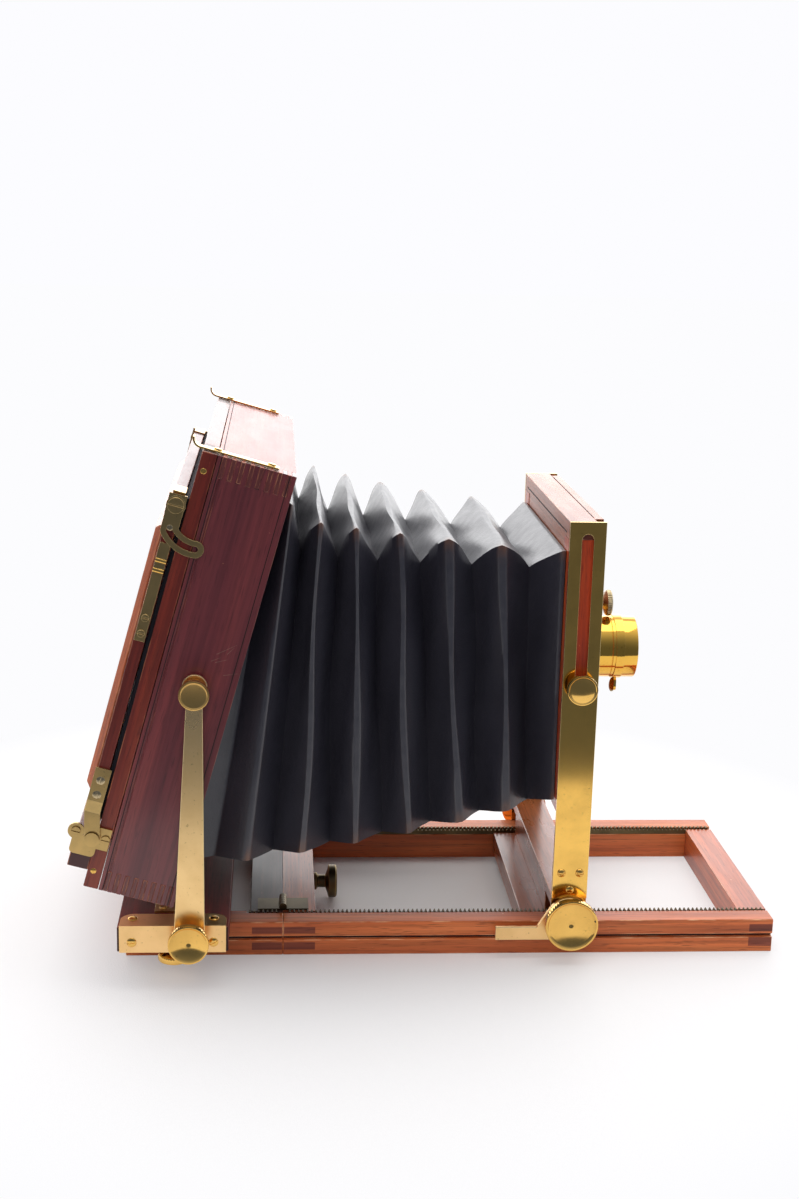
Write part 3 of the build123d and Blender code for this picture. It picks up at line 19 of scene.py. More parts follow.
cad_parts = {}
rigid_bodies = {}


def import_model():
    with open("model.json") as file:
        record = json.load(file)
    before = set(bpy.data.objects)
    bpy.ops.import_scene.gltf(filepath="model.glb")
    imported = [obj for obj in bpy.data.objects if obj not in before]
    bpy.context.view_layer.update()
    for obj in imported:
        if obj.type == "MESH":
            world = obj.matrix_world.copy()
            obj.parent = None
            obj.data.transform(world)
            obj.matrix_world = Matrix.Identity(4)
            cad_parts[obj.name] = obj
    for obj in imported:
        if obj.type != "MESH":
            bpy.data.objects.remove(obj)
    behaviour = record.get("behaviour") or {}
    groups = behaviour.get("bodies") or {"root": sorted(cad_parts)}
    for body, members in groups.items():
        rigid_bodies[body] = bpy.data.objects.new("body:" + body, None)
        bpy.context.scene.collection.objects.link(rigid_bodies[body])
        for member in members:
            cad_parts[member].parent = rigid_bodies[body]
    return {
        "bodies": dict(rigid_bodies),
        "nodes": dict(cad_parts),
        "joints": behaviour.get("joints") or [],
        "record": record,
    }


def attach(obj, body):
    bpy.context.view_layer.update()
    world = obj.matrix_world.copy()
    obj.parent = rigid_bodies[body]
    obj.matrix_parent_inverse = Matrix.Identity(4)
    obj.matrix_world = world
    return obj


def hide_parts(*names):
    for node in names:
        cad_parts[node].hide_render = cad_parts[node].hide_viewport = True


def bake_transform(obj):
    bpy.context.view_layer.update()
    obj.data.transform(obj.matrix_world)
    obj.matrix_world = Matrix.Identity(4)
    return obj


LOG = logging.getLogger("field_camera")
MM = 0.001
# The back leans forward by this angle about its hinges, whose place is in millimetres.
LEAN = math.radians(15.17)
HINGE_X = 2.0
HINGE_Z = 37.0
# Each side's name and the sign of its Y.
SIDES = (("left", 1), ("right", -1))
# In a new mesh, points closer than the first distance are merged, edges shorter than the second dissolved.
MERGE_M = 1e-7
DEGENERATE_M = 1e-8
# Edges sharper than this stay sharp when a piece is shaded smooth.
SMOOTH_DEGREES = 38.0
# A direction whose Z is above this share counts as upright.
UPRIGHT_SHARE = 0.9
# Outline points this close to the largest radius belong to a turned piece's rim.
RIM_BAND_MM = 0.05
SEGMENTS_PER_GROOVE = 4
# Corners of a unit box, a ring of four and the ring above it, and the sides between them.
BOX_CORNERS = np.array(
    [(0, 0, 0), (1, 0, 0), (1, 1, 0), (0, 1, 0), (0, 0, 1), (1, 0, 1), (1, 1, 1), (0, 1, 1)], float
)
BOX_SIDES = np.array([(0, 3, 2, 1), (4, 5, 6, 7), (0, 1, 5, 4), (1, 2, 6, 5), (2, 3, 7, 6), (3, 0, 4, 7)])

Colour = Tuple[float, float, float, float]
Span = Tuple[float, float]
Shape = Tuple[np.ndarray, np.ndarray]


def linear(code: str) -> Colour:
    """Turn an sRGB hex value into a linear colour.

    Args:
        code: Six hex digits with a leading hash sign.

    Returns:
        Red, green, blue and a full alpha, each from 0 to 1.
    """
    parts = [int(code[place : place + 2], 16) / 255 for place in (1, 3, 5)]
    light = [part / 12.92 if part <= 0.04045 else ((part + 0.055) / 1.055) ** 2.4 for part in parts]
    return (light[0], light[1], light[2], 1.0)


def add_node(
    tree: bpy.types.NodeTree,
    kind: str,
    settings: Optional[dict] = None,
    links: Optional[dict] = None,
) -> bpy.types.Node:
    """Add one shader node with its settings and links.

    Args:
        tree: The node tree that gets the node.
        kind: The node's Blender type name.
        settings: Attribute or socket names and their values; "ramp" lists a colour ramp's stops.
        links: Input socket names or numbers and the output sockets that feed them.

    Returns:
        The new node.
    """
    node = tree.nodes.new(kind)
    for key, value in (settings or {}).items():
        if key == "ramp":
            stops = node.color_ramp.elements
            while len(stops) < len(value):
                stops.new(0.5)
            for stop, (place, colour) in zip(stops, value):
                stop.position = place
                stop.color = colour
        elif isinstance(key, str) and hasattr(node, key):
            setattr(node, key, value)
        else:
            node.inputs[key].default_value = value
    for key, socket in (links or {}).items():
        tree.links.new(socket, node.inputs[key])
    return node


def grey(level: float) -> Colour:
    """A neutral colour of one level, for ramps that carry a number."""
    return (level, level, level, 1.0)


def shaded(code: str, share: float) -> Colour:
    """An sRGB hex value as a linear colour that keeps only a share of its light."""
    red, green, blue, _ = linear(code)
    return (share * red, share * green, share * blue, 1.0)


def blank_material(name: str) -> Tuple[bpy.types.Material, bpy.types.NodeTree, bpy.types.Node]:
    """Make a material that holds only its shader and its output.

    Args:
        name: The material's name.

    Returns:
        The material, its node tree and its shader.
    """
    material = bpy.data.materials.new(name)
    material.use_nodes = True
    tree = material.node_tree
    tree.nodes.clear()
    shader = add_node(tree, "ShaderNodeBsdfPrincipled")
    add_node(tree, "ShaderNodeOutputMaterial", {}, {"Surface": shader.outputs[0]})
    return material, tree, shader


class Grain(Enum):
    """The axis along which a board's fibres or a sheet's brushing run."""

    LENGTH = 0
    ACROSS = 1
    UPRIGHT = 2


class Grained:
    """A finish whose patterns are drawn out along the grain of a board or the brushing of a sheet."""

    grain: Grain
    lean: float
    raggedness: float

    def cloud(
        self, tree: bpy.types.NodeTree, place: bpy.types.Node, size_mm: Span, detail: float
    ) -> bpy.types.NodeSocket:
        """A noise that is drawn out along the grain.

        Args:
            tree: The node tree that gets the noise.
            place: The node that gives the object's coordinates.
            size_mm: The width of the noise's blotches, and their length along the grain.
            detail: How many finer layers the noise has.

        Returns:
            The noise's value.
        """
        size = [size_mm[0] * MM] * 3
        size[self.grain.value] = size_mm[1] * MM
        mapping = add_node(
            tree,
            "ShaderNodeMapping",
            {"vector_type": "TEXTURE", "Rotation": (0.0, self.lean, 0.0), "Scale": size},
            {"Vector": place.outputs["Object"]},
        )
        noise = add_node(
            tree,
            "ShaderNodeTexNoise",
            {"Scale": 1.0, "Detail": detail, "Roughness": self.raggedness},
            {"Vector": mapping.outputs[0]},
        )
        return noise.outputs["Fac"]


@dataclass(frozen=True)
class Mahogany(Grained):
    """French-polished mahogany: ribbon figure, fine dark pores and a thin glossy film over it.

    The film gives the eye a soft white sheen at low angles, and the edges are rubbed to a paler red.
    """

    name: str
    deep: str
    body: str
    bright: str
    worn: str
    grain: Grain
    lean: float = 0.0
    roughness: float = 0.34
    film: float = 0.35
    shine: float = 0.5
    raggedness: float = 0.55
    figure_mm: Span = (13.0, 190.0)
    streak_mm: Span = (1.6, 80.0)
    pore_mm: Span = (0.55, 9.0)
    knock_mm: Span = (2.2, 3.6)
    rub_mm: Span = (6.0, 14.0)
    gloss_mm: Span = (9.0, 30.0)
    gloss_spread: Span = (-0.06, 0.12)
    streak_share: float = 0.85
    pore_share: float = 0.5
    pore_shade: float = 0.35
    pore_depth_mm: float = 0.15
    end_shade: float = 0.42
    film_roughness: float = 0.16

    def build(self) -> bpy.types.Material:
        """Make the material: figure, streaks, pores, knocks, end grain and rubbed edges.

        Returns:
            The material.
        """
        material, tree, shader = blank_material(self.name)
        place = add_node(tree, "ShaderNodeTexCoord")
        figure = add_node(
            tree,
            "ShaderNodeValToRGB",
            {"ramp": [(0.30, linear(self.deep)), (0.52, linear(self.body)), (0.74, linear(self.bright))]},
            {"Fac": self.cloud(tree, place, self.figure_mm, 3.0)},
        )
        streaks = add_node(
            tree,
            "ShaderNodeValToRGB",
            {"ramp": [(0.32, grey(0.66)), (0.66, grey(1.16))]},
            {"Fac": self.cloud(tree, place, self.streak_mm, 4.0)},
        )
        streaked = add_node(
            tree,
            "ShaderNodeMix",
            {"data_type": "RGBA", "blend_type": "MULTIPLY", 0: self.streak_share},
            {6: figure.outputs[0], 7: streaks.outputs[0]},
        )
        # Pores are about 0.2 mm wide; they are drawn at 0.55 mm so that they show in the render.
        pores = add_node(
            tree,
            "ShaderNodeValToRGB",
            {"ramp": [(0.60, grey(0.0)), (0.72, grey(1.0))]},
            {"Fac": self.cloud(tree, place, self.pore_mm, 1.0)},
        )
        pored = add_node(
            tree, "ShaderNodeMath", {"operation": "MULTIPLY", 1: self.pore_share}, {0: pores.outputs[0]}
        )
        filled = add_node(
            tree,
            "ShaderNodeMix",
            {"data_type": "RGBA", 7: shaded(self.deep, self.pore_shade)},
            {0: pored.outputs[0], 6: streaked.outputs[2]},
        )
        # Small knocks through the polish show the raw wood, about 1 mm across and some way apart.
        knocks = add_node(
            tree,
            "ShaderNodeValToRGB",
            {"ramp": [(0.735, grey(0.0)), (0.775, grey(0.8))]},
            {"Fac": self.cloud(tree, place, self.knock_mm, 3.0)},
        )
        knocked = add_node(
            tree,
            "ShaderNodeMix",
            {"data_type": "RGBA", 7: linear(self.worn)},
            {0: knocks.outputs[0], 6: filled.outputs[2]},
        )
        fibres = {
            Grain.LENGTH: (math.cos(self.lean), 0.0, -math.sin(self.lean)),
            Grain.ACROSS: (0.0, 1.0, 0.0),
            Grain.UPRIGHT: (math.sin(self.lean), 0.0, math.cos(self.lean)),
        }
        facing = add_node(
            tree,
            "ShaderNodeVectorMath",
            {"operation": "DOT_PRODUCT", 1: fibres[self.grain]},
            {0: place.outputs["Normal"]},
        )
        square = add_node(tree, "ShaderNodeMath", {"operation": "ABSOLUTE"}, {0: facing.outputs["Value"]})
        ends = add_node(
            tree,
            "ShaderNodeValToRGB",
            {"ramp": [(0.72, grey(0.0)), (0.92, grey(0.92))]},
            {"Fac": square.outputs[0]},
        )
        ended = add_node(
            tree,
            "ShaderNodeMix",
            {"data_type": "RGBA", 7: shaded(self.deep, self.end_shade)},
            {0: ends.outputs[0], 6: knocked.outputs[2]},
        )
        edge = add_node(tree, "ShaderNodeAttribute", {"attribute_name": "worn"})
        rubbed = add_node(
            tree,
            "ShaderNodeValToRGB",
            {"ramp": [(0.44, grey(0.0)), (0.62, grey(0.75))]},
            {"Fac": self.cloud(tree, place, self.rub_mm, 3.0)},
        )
        rub = add_node(
            tree,
            "ShaderNodeMath",
            {"operation": "MULTIPLY"},
            {0: edge.outputs["Fac"], 1: rubbed.outputs[0]},
        )
        coloured = add_node(
            tree,
            "ShaderNodeMix",
            {"data_type": "RGBA", 7: linear(self.worn)},
            {0: rub.outputs[0], 6: ended.outputs[2]},
        )
        smoother, rougher = self.gloss_spread
        gloss = add_node(
            tree,
            "ShaderNodeMapRange",
            {"To Min": self.roughness + smoother, "To Max": self.roughness + rougher},
            {"Value": self.cloud(tree, place, self.gloss_mm, 3.0)},
        )
        bump = add_node(
            tree,
            "ShaderNodeBump",
            {"Strength": 0.12, "Distance": self.pore_depth_mm * MM, "invert": True},
            {"Height": pores.outputs[0]},
        )
        tree.links.new(coloured.outputs[2], shader.inputs["Base Color"])
        tree.links.new(gloss.outputs[0], shader.inputs["Roughness"])
        tree.links.new(bump.outputs[0], shader.inputs["Normal"])
        shader.inputs["Specular IOR Level"].default_value = self.shine
        shader.inputs["Coat Weight"].default_value = self.film
        shader.inputs["Coat Roughness"].default_value = self.film_roughness
        return material


@dataclass(frozen=True)
class Brass(Grained):
    """Lacquered sheet or turned brass: gold, brushed, dulled to olive in blotches, bright at its edges."""

    name: str
    gold: str
    dull: str
    bright: str
    grain: Grain = Grain.UPRIGHT
    roughness: float = 0.27
    tarnish: float = 0.55
    brushing: float = 0.10
    lean: float = 0.0
    raggedness: float = 0.6
    blotch_mm: Span = (17.0, 17.0)
    gloss_spread: Span = (-0.04, 0.08)
    speck_mm: Span = (1.5, 1.5)
    speck_shade: float = 0.5
    brush_mm: Span = (0.3, 30.0)
    brush_depth_mm: float = 0.08
    edge_rub: float = 0.6

    def build(self) -> bpy.types.Material:
        """Make the material: tarnish blotches, specks, brushing and rubbed edges.

        Returns:
            The material.
        """
        material, tree, shader = blank_material(self.name)
        place = add_node(tree, "ShaderNodeTexCoord")
        blotch = self.cloud(tree, place, self.blotch_mm, 4.0)
        dulled = add_node(
            tree,
            "ShaderNodeValToRGB",
            {"ramp": [(0.40, grey(0.0)), (0.72, grey(self.tarnish))]},
            {"Fac": blotch},
        )
        tone = add_node(
            tree,
            "ShaderNodeMix",
            {"data_type": "RGBA", 6: linear(self.gold), 7: linear(self.dull)},
            {0: dulled.outputs[0]},
        )
        specks = add_node(
            tree,
            "ShaderNodeValToRGB",
            {"ramp": [(0.66, grey(0.0)), (0.76, grey(0.55))]},
            {"Fac": self.cloud(tree, place, self.speck_mm, 2.0)},
        )
        specked = add_node(
            tree,
            "ShaderNodeMix",
            {"data_type": "RGBA", 7: shaded(self.dull, self.speck_shade)},
            {0: specks.outputs[0], 6: tone.outputs[2]},
        )
        edge = add_node(tree, "ShaderNodeAttribute", {"attribute_name": "worn"})
        rub = add_node(
            tree,
            "ShaderNodeMath",
            {"operation": "MULTIPLY", 1: self.edge_rub},
            {0: edge.outputs["Fac"]},
        )
        coloured = add_node(
            tree,
            "ShaderNodeMix",
            {"data_type": "RGBA", 7: linear(self.bright)},
            {0: rub.outputs[0], 6: specked.outputs[2]},
        )
        # Brush marks are about 0.05 mm wide; they are drawn at 0.3 mm so that they show.
        brush = self.cloud(tree, place, self.brush_mm, 2.0)
        smoother, rougher = self.gloss_spread
        gloss = add_node(
            tree,
            "ShaderNodeMapRange",
            {"To Min": self.roughness + smoother, "To Max": self.roughness + rougher},
            {"Value": blotch},
        )
        bump = add_node(
            tree,
            "ShaderNodeBump",
            {"Strength": self.brushing, "Distance": self.brush_depth_mm * MM},
            {"Height": brush},
        )
        tree.links.new(coloured.outputs[2], shader.inputs["Base Color"])
        tree.links.new(gloss.outputs[0], shader.inputs["Roughness"])
        tree.links.new(bump.outputs[0], shader.inputs["Normal"])
        shader.inputs["Metallic"].default_value = 1.0
        return material


@dataclass(frozen=True)
class BellowsLeather:
    """Thin black leather, folded and glued: finely grained, grey where it rubs, brown at its corners."""

    name: str = "bellows_leather"
    black: str = "#24232B"
    rubbed: str = "#3A393F"
    bare: str = "#6E4A36"
    aged: str = "#32313A"
    grain_mm: float = 0.9
    crease_mm: float = 7.0
    patch_mm: float = 26.0
    grain_share: float = 0.25
    crease_depth_mm: float = 0.5
    roughness: Span = (0.27, 0.45)
    shine: float = 0.75

    def build(self) -> bpy.types.Material:
        """Make the material from the fold and corner values that the mesh carries.

        Returns:
            The material.
        """
        material, tree, shader = blank_material(self.name)
        place = add_node(tree, "ShaderNodeTexCoord")
        pebble = add_node(
            tree,
            "ShaderNodeTexVoronoi",
            {"Scale": 1 / (self.grain_mm * MM)},
            {"Vector": place.outputs["Object"]},
        )
        crease = add_node(
            tree,
            "ShaderNodeTexNoise",
            {"Scale": 1 / (self.crease_mm * MM), "Detail": 5.0, "Roughness": 0.6},
            {"Vector": place.outputs["Object"]},
        )
        patch = add_node(
            tree,
            "ShaderNodeTexNoise",
            {"Scale": 1 / (self.patch_mm * MM), "Detail": 3.0},
            {"Vector": place.outputs["Object"]},
        )
        fold = add_node(tree, "ShaderNodeAttribute", {"attribute_name": "ridge"})
        corner = add_node(tree, "ShaderNodeAttribute", {"attribute_name": "corner"})
        broken = add_node(
            tree,
            "ShaderNodeValToRGB",
            {"ramp": [(0.34, grey(0.35)), (0.62, grey(1.0))]},
            {"Fac": crease.outputs["Fac"]},
        )
        rub = add_node(
            tree,
            "ShaderNodeMath",
            {"operation": "MULTIPLY"},
            {0: fold.outputs["Fac"], 1: broken.outputs[0]},
        )
        base = add_node(
            tree,
            "ShaderNodeMix",
            {"data_type": "RGBA", 6: linear(self.black), 7: linear(self.aged)},
            {0: patch.outputs["Fac"]},
        )
        greyed = add_node(
            tree,
            "ShaderNodeMix",
            {"data_type": "RGBA", 7: linear(self.rubbed)},
            {0: rub.outputs[0], 6: base.outputs[2]},
        )
        bared = add_node(
            tree,
            "ShaderNodeMath",
            {"operation": "MULTIPLY"},
            {0: corner.outputs["Fac"], 1: broken.outputs[0]},
        )
        coloured = add_node(
            tree,
            "ShaderNodeMix",
            {"data_type": "RGBA", 7: linear(self.bare)},
            {0: bared.outputs[0], 6: greyed.outputs[2]},
        )
        gloss = add_node(
            tree,
            "ShaderNodeMapRange",
            {"To Min": self.roughness[0], "To Max": self.roughness[1]},
            {"Value": crease.outputs["Fac"]},
        )
        height = add_node(
            tree,
            "ShaderNodeMath",
            {"operation": "MULTIPLY_ADD", 1: self.grain_share},
            {0: pebble.outputs["Distance"], 2: crease.outputs["Fac"]},
        )
        bump = add_node(
            tree,
            "ShaderNodeBump",
            {"Strength": 0.35, "Distance": self.crease_depth_mm * MM},
            {"Height": height.outputs[0]},
        )
        tree.links.new(coloured.outputs[2], shader.inputs["Base Color"])
        tree.links.new(gloss.outputs[0], shader.inputs["Roughness"])
        tree.links.new(bump.outputs[0], shader.inputs["Normal"])
        shader.inputs["Specular IOR Level"].default_value = self.shine
        return material


@dataclass(frozen=True)
class CrownGlass:
    """Clear or ground glass: a pale body whose roughness comes from how its face was worked."""

    name: str
    tint: str
    roughness: float
    clear: float
    frost_mm: float = 0.6
    frost_share: float = 0.2
    ior: float = 1.52

    def build(self) -> bpy.types.Material:
        """Make the material, with a fine frost on the face.

        Returns:
            The material.
        """
        material, tree, shader = blank_material(self.name)
        place = add_node(tree, "ShaderNodeTexCoord")
        frost = add_node(
            tree,
            "ShaderNodeTexNoise",
            {"Scale": 1 / (self.frost_mm * MM), "Detail": 2.0},
            {"Vector": place.outputs["Object"]},
        )
        spread = self.roughness * self.frost_share
        gloss = add_node(
            tree,
            "ShaderNodeMapRange",
            {"To Min": self.roughness - spread, "To Max": self.roughness + spread},
            {"Value": frost.outputs["Fac"]},
        )
        tree.links.new(gloss.outputs[0], shader.inputs["Roughness"])
        shader.inputs["Base Color"].default_value = linear(self.tint)
        shader.inputs["Transmission Weight"].default_value = self.clear
        shader.inputs["IOR"].default_value = self.ior
        return material


@dataclass(frozen=True)
class BlackCloth:
    """Matt black: dyed velvet in the light trap, or dull black paint inside the lens."""

    name: str
    tone: str = "#14141A"
    nap_mm: float = 0.5
    raised: str = "#22222A"
    roughness: float = 0.9
    sheen: float = 0.2

    def build(self) -> bpy.types.Material:
        """Make the material, with a fine nap.

        Returns:
            The material.
        """
        material, tree, shader = blank_material(self.name)
        place = add_node(tree, "ShaderNodeTexCoord")
        nap = add_node(
            tree,
            "ShaderNodeTexNoise",
            {"Scale": 1 / (self.nap_mm * MM), "Detail": 2.0},
            {"Vector": place.outputs["Object"]},
        )
        shade = add_node(
            tree,
            "ShaderNodeMix",
            {"data_type": "RGBA", 6: linear(self.tone), 7: linear(self.raised)},
            {0: nap.outputs["Fac"]},
        )
        tree.links.new(shade.outputs[2], shader.inputs["Base Color"])
        shader.inputs["Roughness"].default_value = self.roughness
        shader.inputs["Sheen Weight"].default_value = self.sheen
        return material


Finish = Union[Mahogany, Brass, BellowsLeather, CrownGlass, BlackCloth]

# Each wood lists its deep, body, bright and worn colours and its grain. Each brass lists its gold, dull and
# bright colours and the way it is brushed.
BOX_RED = Mahogany(
    "box_mahogany", "#672A2D", "#773233", "#863C38", "#A06048", Grain.UPRIGHT,
    lean=LEAN, roughness=0.34, film=0.55, shine=0.55,
)
BOX_RED_ACROSS = Mahogany(
    "box_mahogany_across", "#8A4038", "#A85448", "#BA6654", "#C08060", Grain.ACROSS,
    roughness=0.42, film=0.3, shine=0.65,
)
FRAME_RED = Mahogany(
    "frame_mahogany", "#5C1B13", "#762819", "#8C3A22", "#BE7048", Grain.UPRIGHT,
    lean=LEAN, roughness=0.36, film=0.2,
)
FRAME_RED_ACROSS = Mahogany(
    "frame_mahogany_across", "#5C1B13", "#762819", "#8C3A22", "#BE7048", Grain.ACROSS,
)
BEAD_ORANGE = Mahogany(
    "bead_mahogany", "#9A4424", "#C06436", "#D67E4A", "#E29C70", Grain.UPRIGHT,
    lean=LEAN,
)
BED_AMBER = Mahogany(
    "bed_mahogany", "#B0542A", "#D06E38", "#E88C50", "#F0B484", Grain.LENGTH,
    roughness=0.42, film=0.08, shine=0.4,
)
BED_AMBER_ACROSS = Mahogany(
    "bed_mahogany_across", "#9A4422", "#BE5E30", "#D67848", "#EEB080", Grain.ACROSS,
    roughness=0.36, film=0.2,
)
BOARD_DARK = Mahogany(
    "board_mahogany", "#45130F", "#6C211A", "#842F24", "#A86048", Grain.ACROSS,
    roughness=0.42, film=0.08, shine=0.25,
)
FRONT_RED = Mahogany(
    "front_mahogany", "#96300F", "#C44616", "#DE5C20", "#E88A50", Grain.UPRIGHT,
)
FRONT_RED_ACROSS = Mahogany(
    "front_mahogany_across", "#8A4028", "#B0603E", "#C4744E", "#D89870", Grain.ACROSS,
    roughness=0.34, film=0.22,
)
END_GRAIN = Mahogany(
    "end_grain_mahogany", "#6A2E20", "#8A442E", "#98543C", "#A06A58", Grain.LENGTH,
    roughness=0.45, film=0.06, shine=0.35,
)
CROSS_RAIL_DARK = Mahogany(
    "cross_rail_mahogany", "#2A1310", "#42201A", "#522C22", "#7A4E40", Grain.ACROSS,
    roughness=0.4, film=0.1, shine=0.5,
)
# A darker copy of the bed's cross-grain mahogany: painted shade for the carriage and sill, which lie in the
# shadow of the bellows and the standard.
CARRIAGE_SHADED_RED = Mahogany(
    "carriage_mahogany", "#74341E", "#9C5230", "#B06440", "#D09870", Grain.ACROSS,
    roughness=0.26, film=0.2, shine=0.5,
)
# Near-black wood: the box's scribed lines, and also painted shade in the rails' grooves and painted shadow
# lines on the rising front.
SCRIBED_AND_SHADE = Mahogany(
    "scribed_mahogany", "#1E0B0A", "#2A100E", "#341612", "#4A2018", Grain.UPRIGHT,
    lean=LEAN, roughness=0.6, film=0.0,
)
SCRATCHED = Mahogany(
    "scratched_mahogany", "#7A5048", "#8C6258", "#9A7066", "#A87C70", Grain.UPRIGHT,
    lean=LEAN, roughness=0.6, film=0.0,
)
SHEET_BRASS = Brass(
    "sheet_brass", "#F6C464", "#C29A50", "#FBE6AA", Grain.UPRIGHT,
    roughness=0.11, tarnish=0.45, brushing=0.03,
)
STRUT_BRASS = Brass(
    "strut_brass", "#FFD898", "#DEB472", "#FBE6AE", Grain.UPRIGHT,
    roughness=0.27, tarnish=0.4, brushing=0.10,
)
PLATE_BRASS = Brass(
    "plate_brass", "#FCD090", "#DAB06C", "#FBE6AE", Grain.LENGTH,
    roughness=0.32, tarnish=0.4, brushing=0.14,
)
OLIVE_BRASS = Brass(
    "olive_brass", "#DAB674", "#9C8658", "#F0D698", Grain.UPRIGHT,
    roughness=0.28, tarnish=0.6, brushing=0.12, lean=LEAN,
)
TURNED_BRASS = Brass(
    "turned_brass", "#F0C068", "#C89C50", "#FCECB6", Grain.ACROSS,
    roughness=0.13, tarnish=0.4, brushing=0.02,
)
SATIN_BRASS = Brass(
    "satin_brass", "#E2B66C", "#BC9858", "#FAE6B0", Grain.LENGTH,
    roughness=0.30, tarnish=0.4, brushing=0.08,
)
LENS_BRASS = Brass(
    "lens_brass", "#F0BC52", "#D8A042", "#FBE9AE", Grain.ACROSS,
    roughness=0.06, tarnish=0.25, brushing=0.01,
)
RACK_BRASS = Brass(
    "rack_brass", "#6E6044", "#40382A", "#B89C66", Grain.LENGTH,
    roughness=0.42, tarnish=0.7, brushing=0.08,
)
SCREW_BRASS = Brass(
    "screw_metal", "#C8B48C", "#8C7C60", "#F0E4C4", Grain.ACROSS,
    roughness=0.26, tarnish=0.5, brushing=0.04,
)
LEATHER = BellowsLeather()
GROUND_GLASS = CrownGlass("ground_glass", "#DCE4E0", roughness=0.55, clear=0.55)
LENS_GLASS = CrownGlass("lens_glass", "#C8D2D6", roughness=0.03, clear=0.9)
VELVET = BlackCloth("black_velvet")
LENS_BLACK = BlackCloth("lens_black", "#0C0C0E", nap_mm=0.8)


def grid_faces(rows: int, columns: int, wrapped: bool = False) -> np.ndarray:
    """Four-sided faces of a grid of points, row after row, whose last column joins its first.

    Args:
        rows: Number of rows of points.
        columns: Number of points in a row.
        wrapped: Whether the last row joins the first too.

    Returns:
        Corner numbers, one row of four for each face.
    """
    steps = rows if wrapped else rows - 1
    row, column = np.meshgrid(np.arange(steps), np.arange(columns), indexing="ij")
    following = (column + 1) % columns
    near = row * columns
    far = (row + 1) % rows * columns
    corners = [near + column, near + following, far + following, far + column]
    return np.stack(corners, axis=-1).reshape(-1, 4)


def joined(shapes: Sequence[Shape]) -> Shape:
    """Join several shapes to one set of points and faces.

    Args:
        shapes: The points and the faces of each.

    Returns:
        The points and the faces of all of them.
    """
    starts = np.cumsum([0] + [len(points) for points, _ in shapes])
    points = np.concatenate([points for points, _ in shapes])
    faces = np.concatenate([faces + start for (_, faces), start in zip(shapes, starts)])
    return points, faces


def rectangle_loop(per_side: int) -> Tuple[np.ndarray, np.ndarray]:
    """Go once round a square that reaches from -1 to 1 across and up.

    Args:
        per_side: Number of steps to a side.

    Returns:
        The places across and the places up.
    """
    step = np.linspace(-1, 1, per_side, endpoint=False)
    one = np.ones_like(step)
    return np.concatenate([step, one, -step, -one]), np.concatenate([-one, step, one, -step])


def mesh_object(name: str, shape: Shape, closed: bool = True) -> bpy.types.Object:
    """Make an object at the origin from points in millimetres and faces.

    Args:
        name: The object's name.
        shape: Its points, one row each, and the corner numbers of each face.
        closed: Whether doubles are merged and normals turned outwards.

    Returns:
        The linked object.
    """
    points, faces = shape
    mesh = bpy.data.meshes.new(name)
    mesh.from_pydata((points * MM).tolist(), [], faces.tolist())
    if closed:
        shell = bmesh.new()
        shell.from_mesh(mesh)
        bmesh.ops.remove_doubles(shell, verts=shell.verts, dist=MERGE_M)
        bmesh.ops.dissolve_degenerate(shell, dist=DEGENERATE_M, edges=shell.edges)
        bmesh.ops.recalc_face_normals(shell, faces=shell.faces)
        shell.to_mesh(mesh)
        shell.free()
    piece = bpy.data.objects.new(name, mesh)
    bpy.context.scene.collection.objects.link(piece)
    return piece


def smooth(piece: bpy.types.Object, angle: float = SMOOTH_DEGREES) -> None:
    """Shade a piece smooth, with its sharper edges kept.

    Args:
        piece: The piece's object.
        angle: The angle in degrees above which an edge stays sharp.
    """
    mesh = piece.data
    mesh.polygons.foreach_set("use_smooth", np.ones(len(mesh.polygons), bool))
    mesh.set_sharp_from_angle(angle=math.radians(angle))
    mesh.update()


def back_point(local: np.ndarray) -> np.ndarray:
    """Turn places in the leaning back's own frame into the camera's frame.

    The back's X runs forward through its depth, Y across and Z up along its lean.

    Args:
        local: Places in millimetres, with X, Y and Z last.

    Returns:
        The same places in the camera's frame.
    """
    x, y, z = local[..., 0], local[..., 1], local[..., 2]
    world_x = HINGE_X + x * math.cos(LEAN) + z * math.sin(LEAN)
    world_z = HINGE_Z - x * math.sin(LEAN) + z * math.cos(LEAN)
    return np.stack([world_x, y, world_z], axis=-1)


def leaning(shape: Shape) -> Shape:
    """A shape that is given in the leaning back's own frame, set in the camera's frame."""
    points, faces = shape
    return back_point(points), faces


def slab(x: Span, y: Span, z: Span, sign: int = 1) -> Shape:
    """Points and faces of a plain box.

    Args:
        x: Its span forward in millimetres.
        y: Its span across.
        z: Its span upwards.
        sign: 1 to leave it where it is, -1 to mirror it to the other side.

    Returns:
        The points and the faces.
    """
    low = np.array([x[0], sign * y[0], z[0]])
    high = np.array([x[1], sign * y[1], z[1]])
    return low + BOX_CORNERS * (high - low), BOX_SIDES


def plate(corners: np.ndarray, walls: Span) -> Shape:
    """A four-cornered upright plate, from its corners' X and Z and the Y of its two faces."""
    rings = [np.stack([corners[:, 0], np.full(len(corners), wall), corners[:, 1]], -1) for wall in walls]
    return np.concatenate(rings), BOX_SIDES


def square_axes(axis: Sequence[float]) -> np.ndarray:
    """Find two directions that are square to a third and to each other.

    Args:
        axis: The third direction, of any length.

    Returns:
        Three unit directions, one to a row, of which the last is the given one.
    """
    lift = np.asarray(axis, float)
    lift = lift / np.linalg.norm(lift)
    upright = abs(lift[2]) > UPRIGHT_SHARE
    side = np.cross(lift, (1.0, 0.0, 0.0) if upright else (0.0, 0.0, 1.0))
    side = side / np.linalg.norm(side)
    return np.stack([side, np.cross(lift, side), lift])


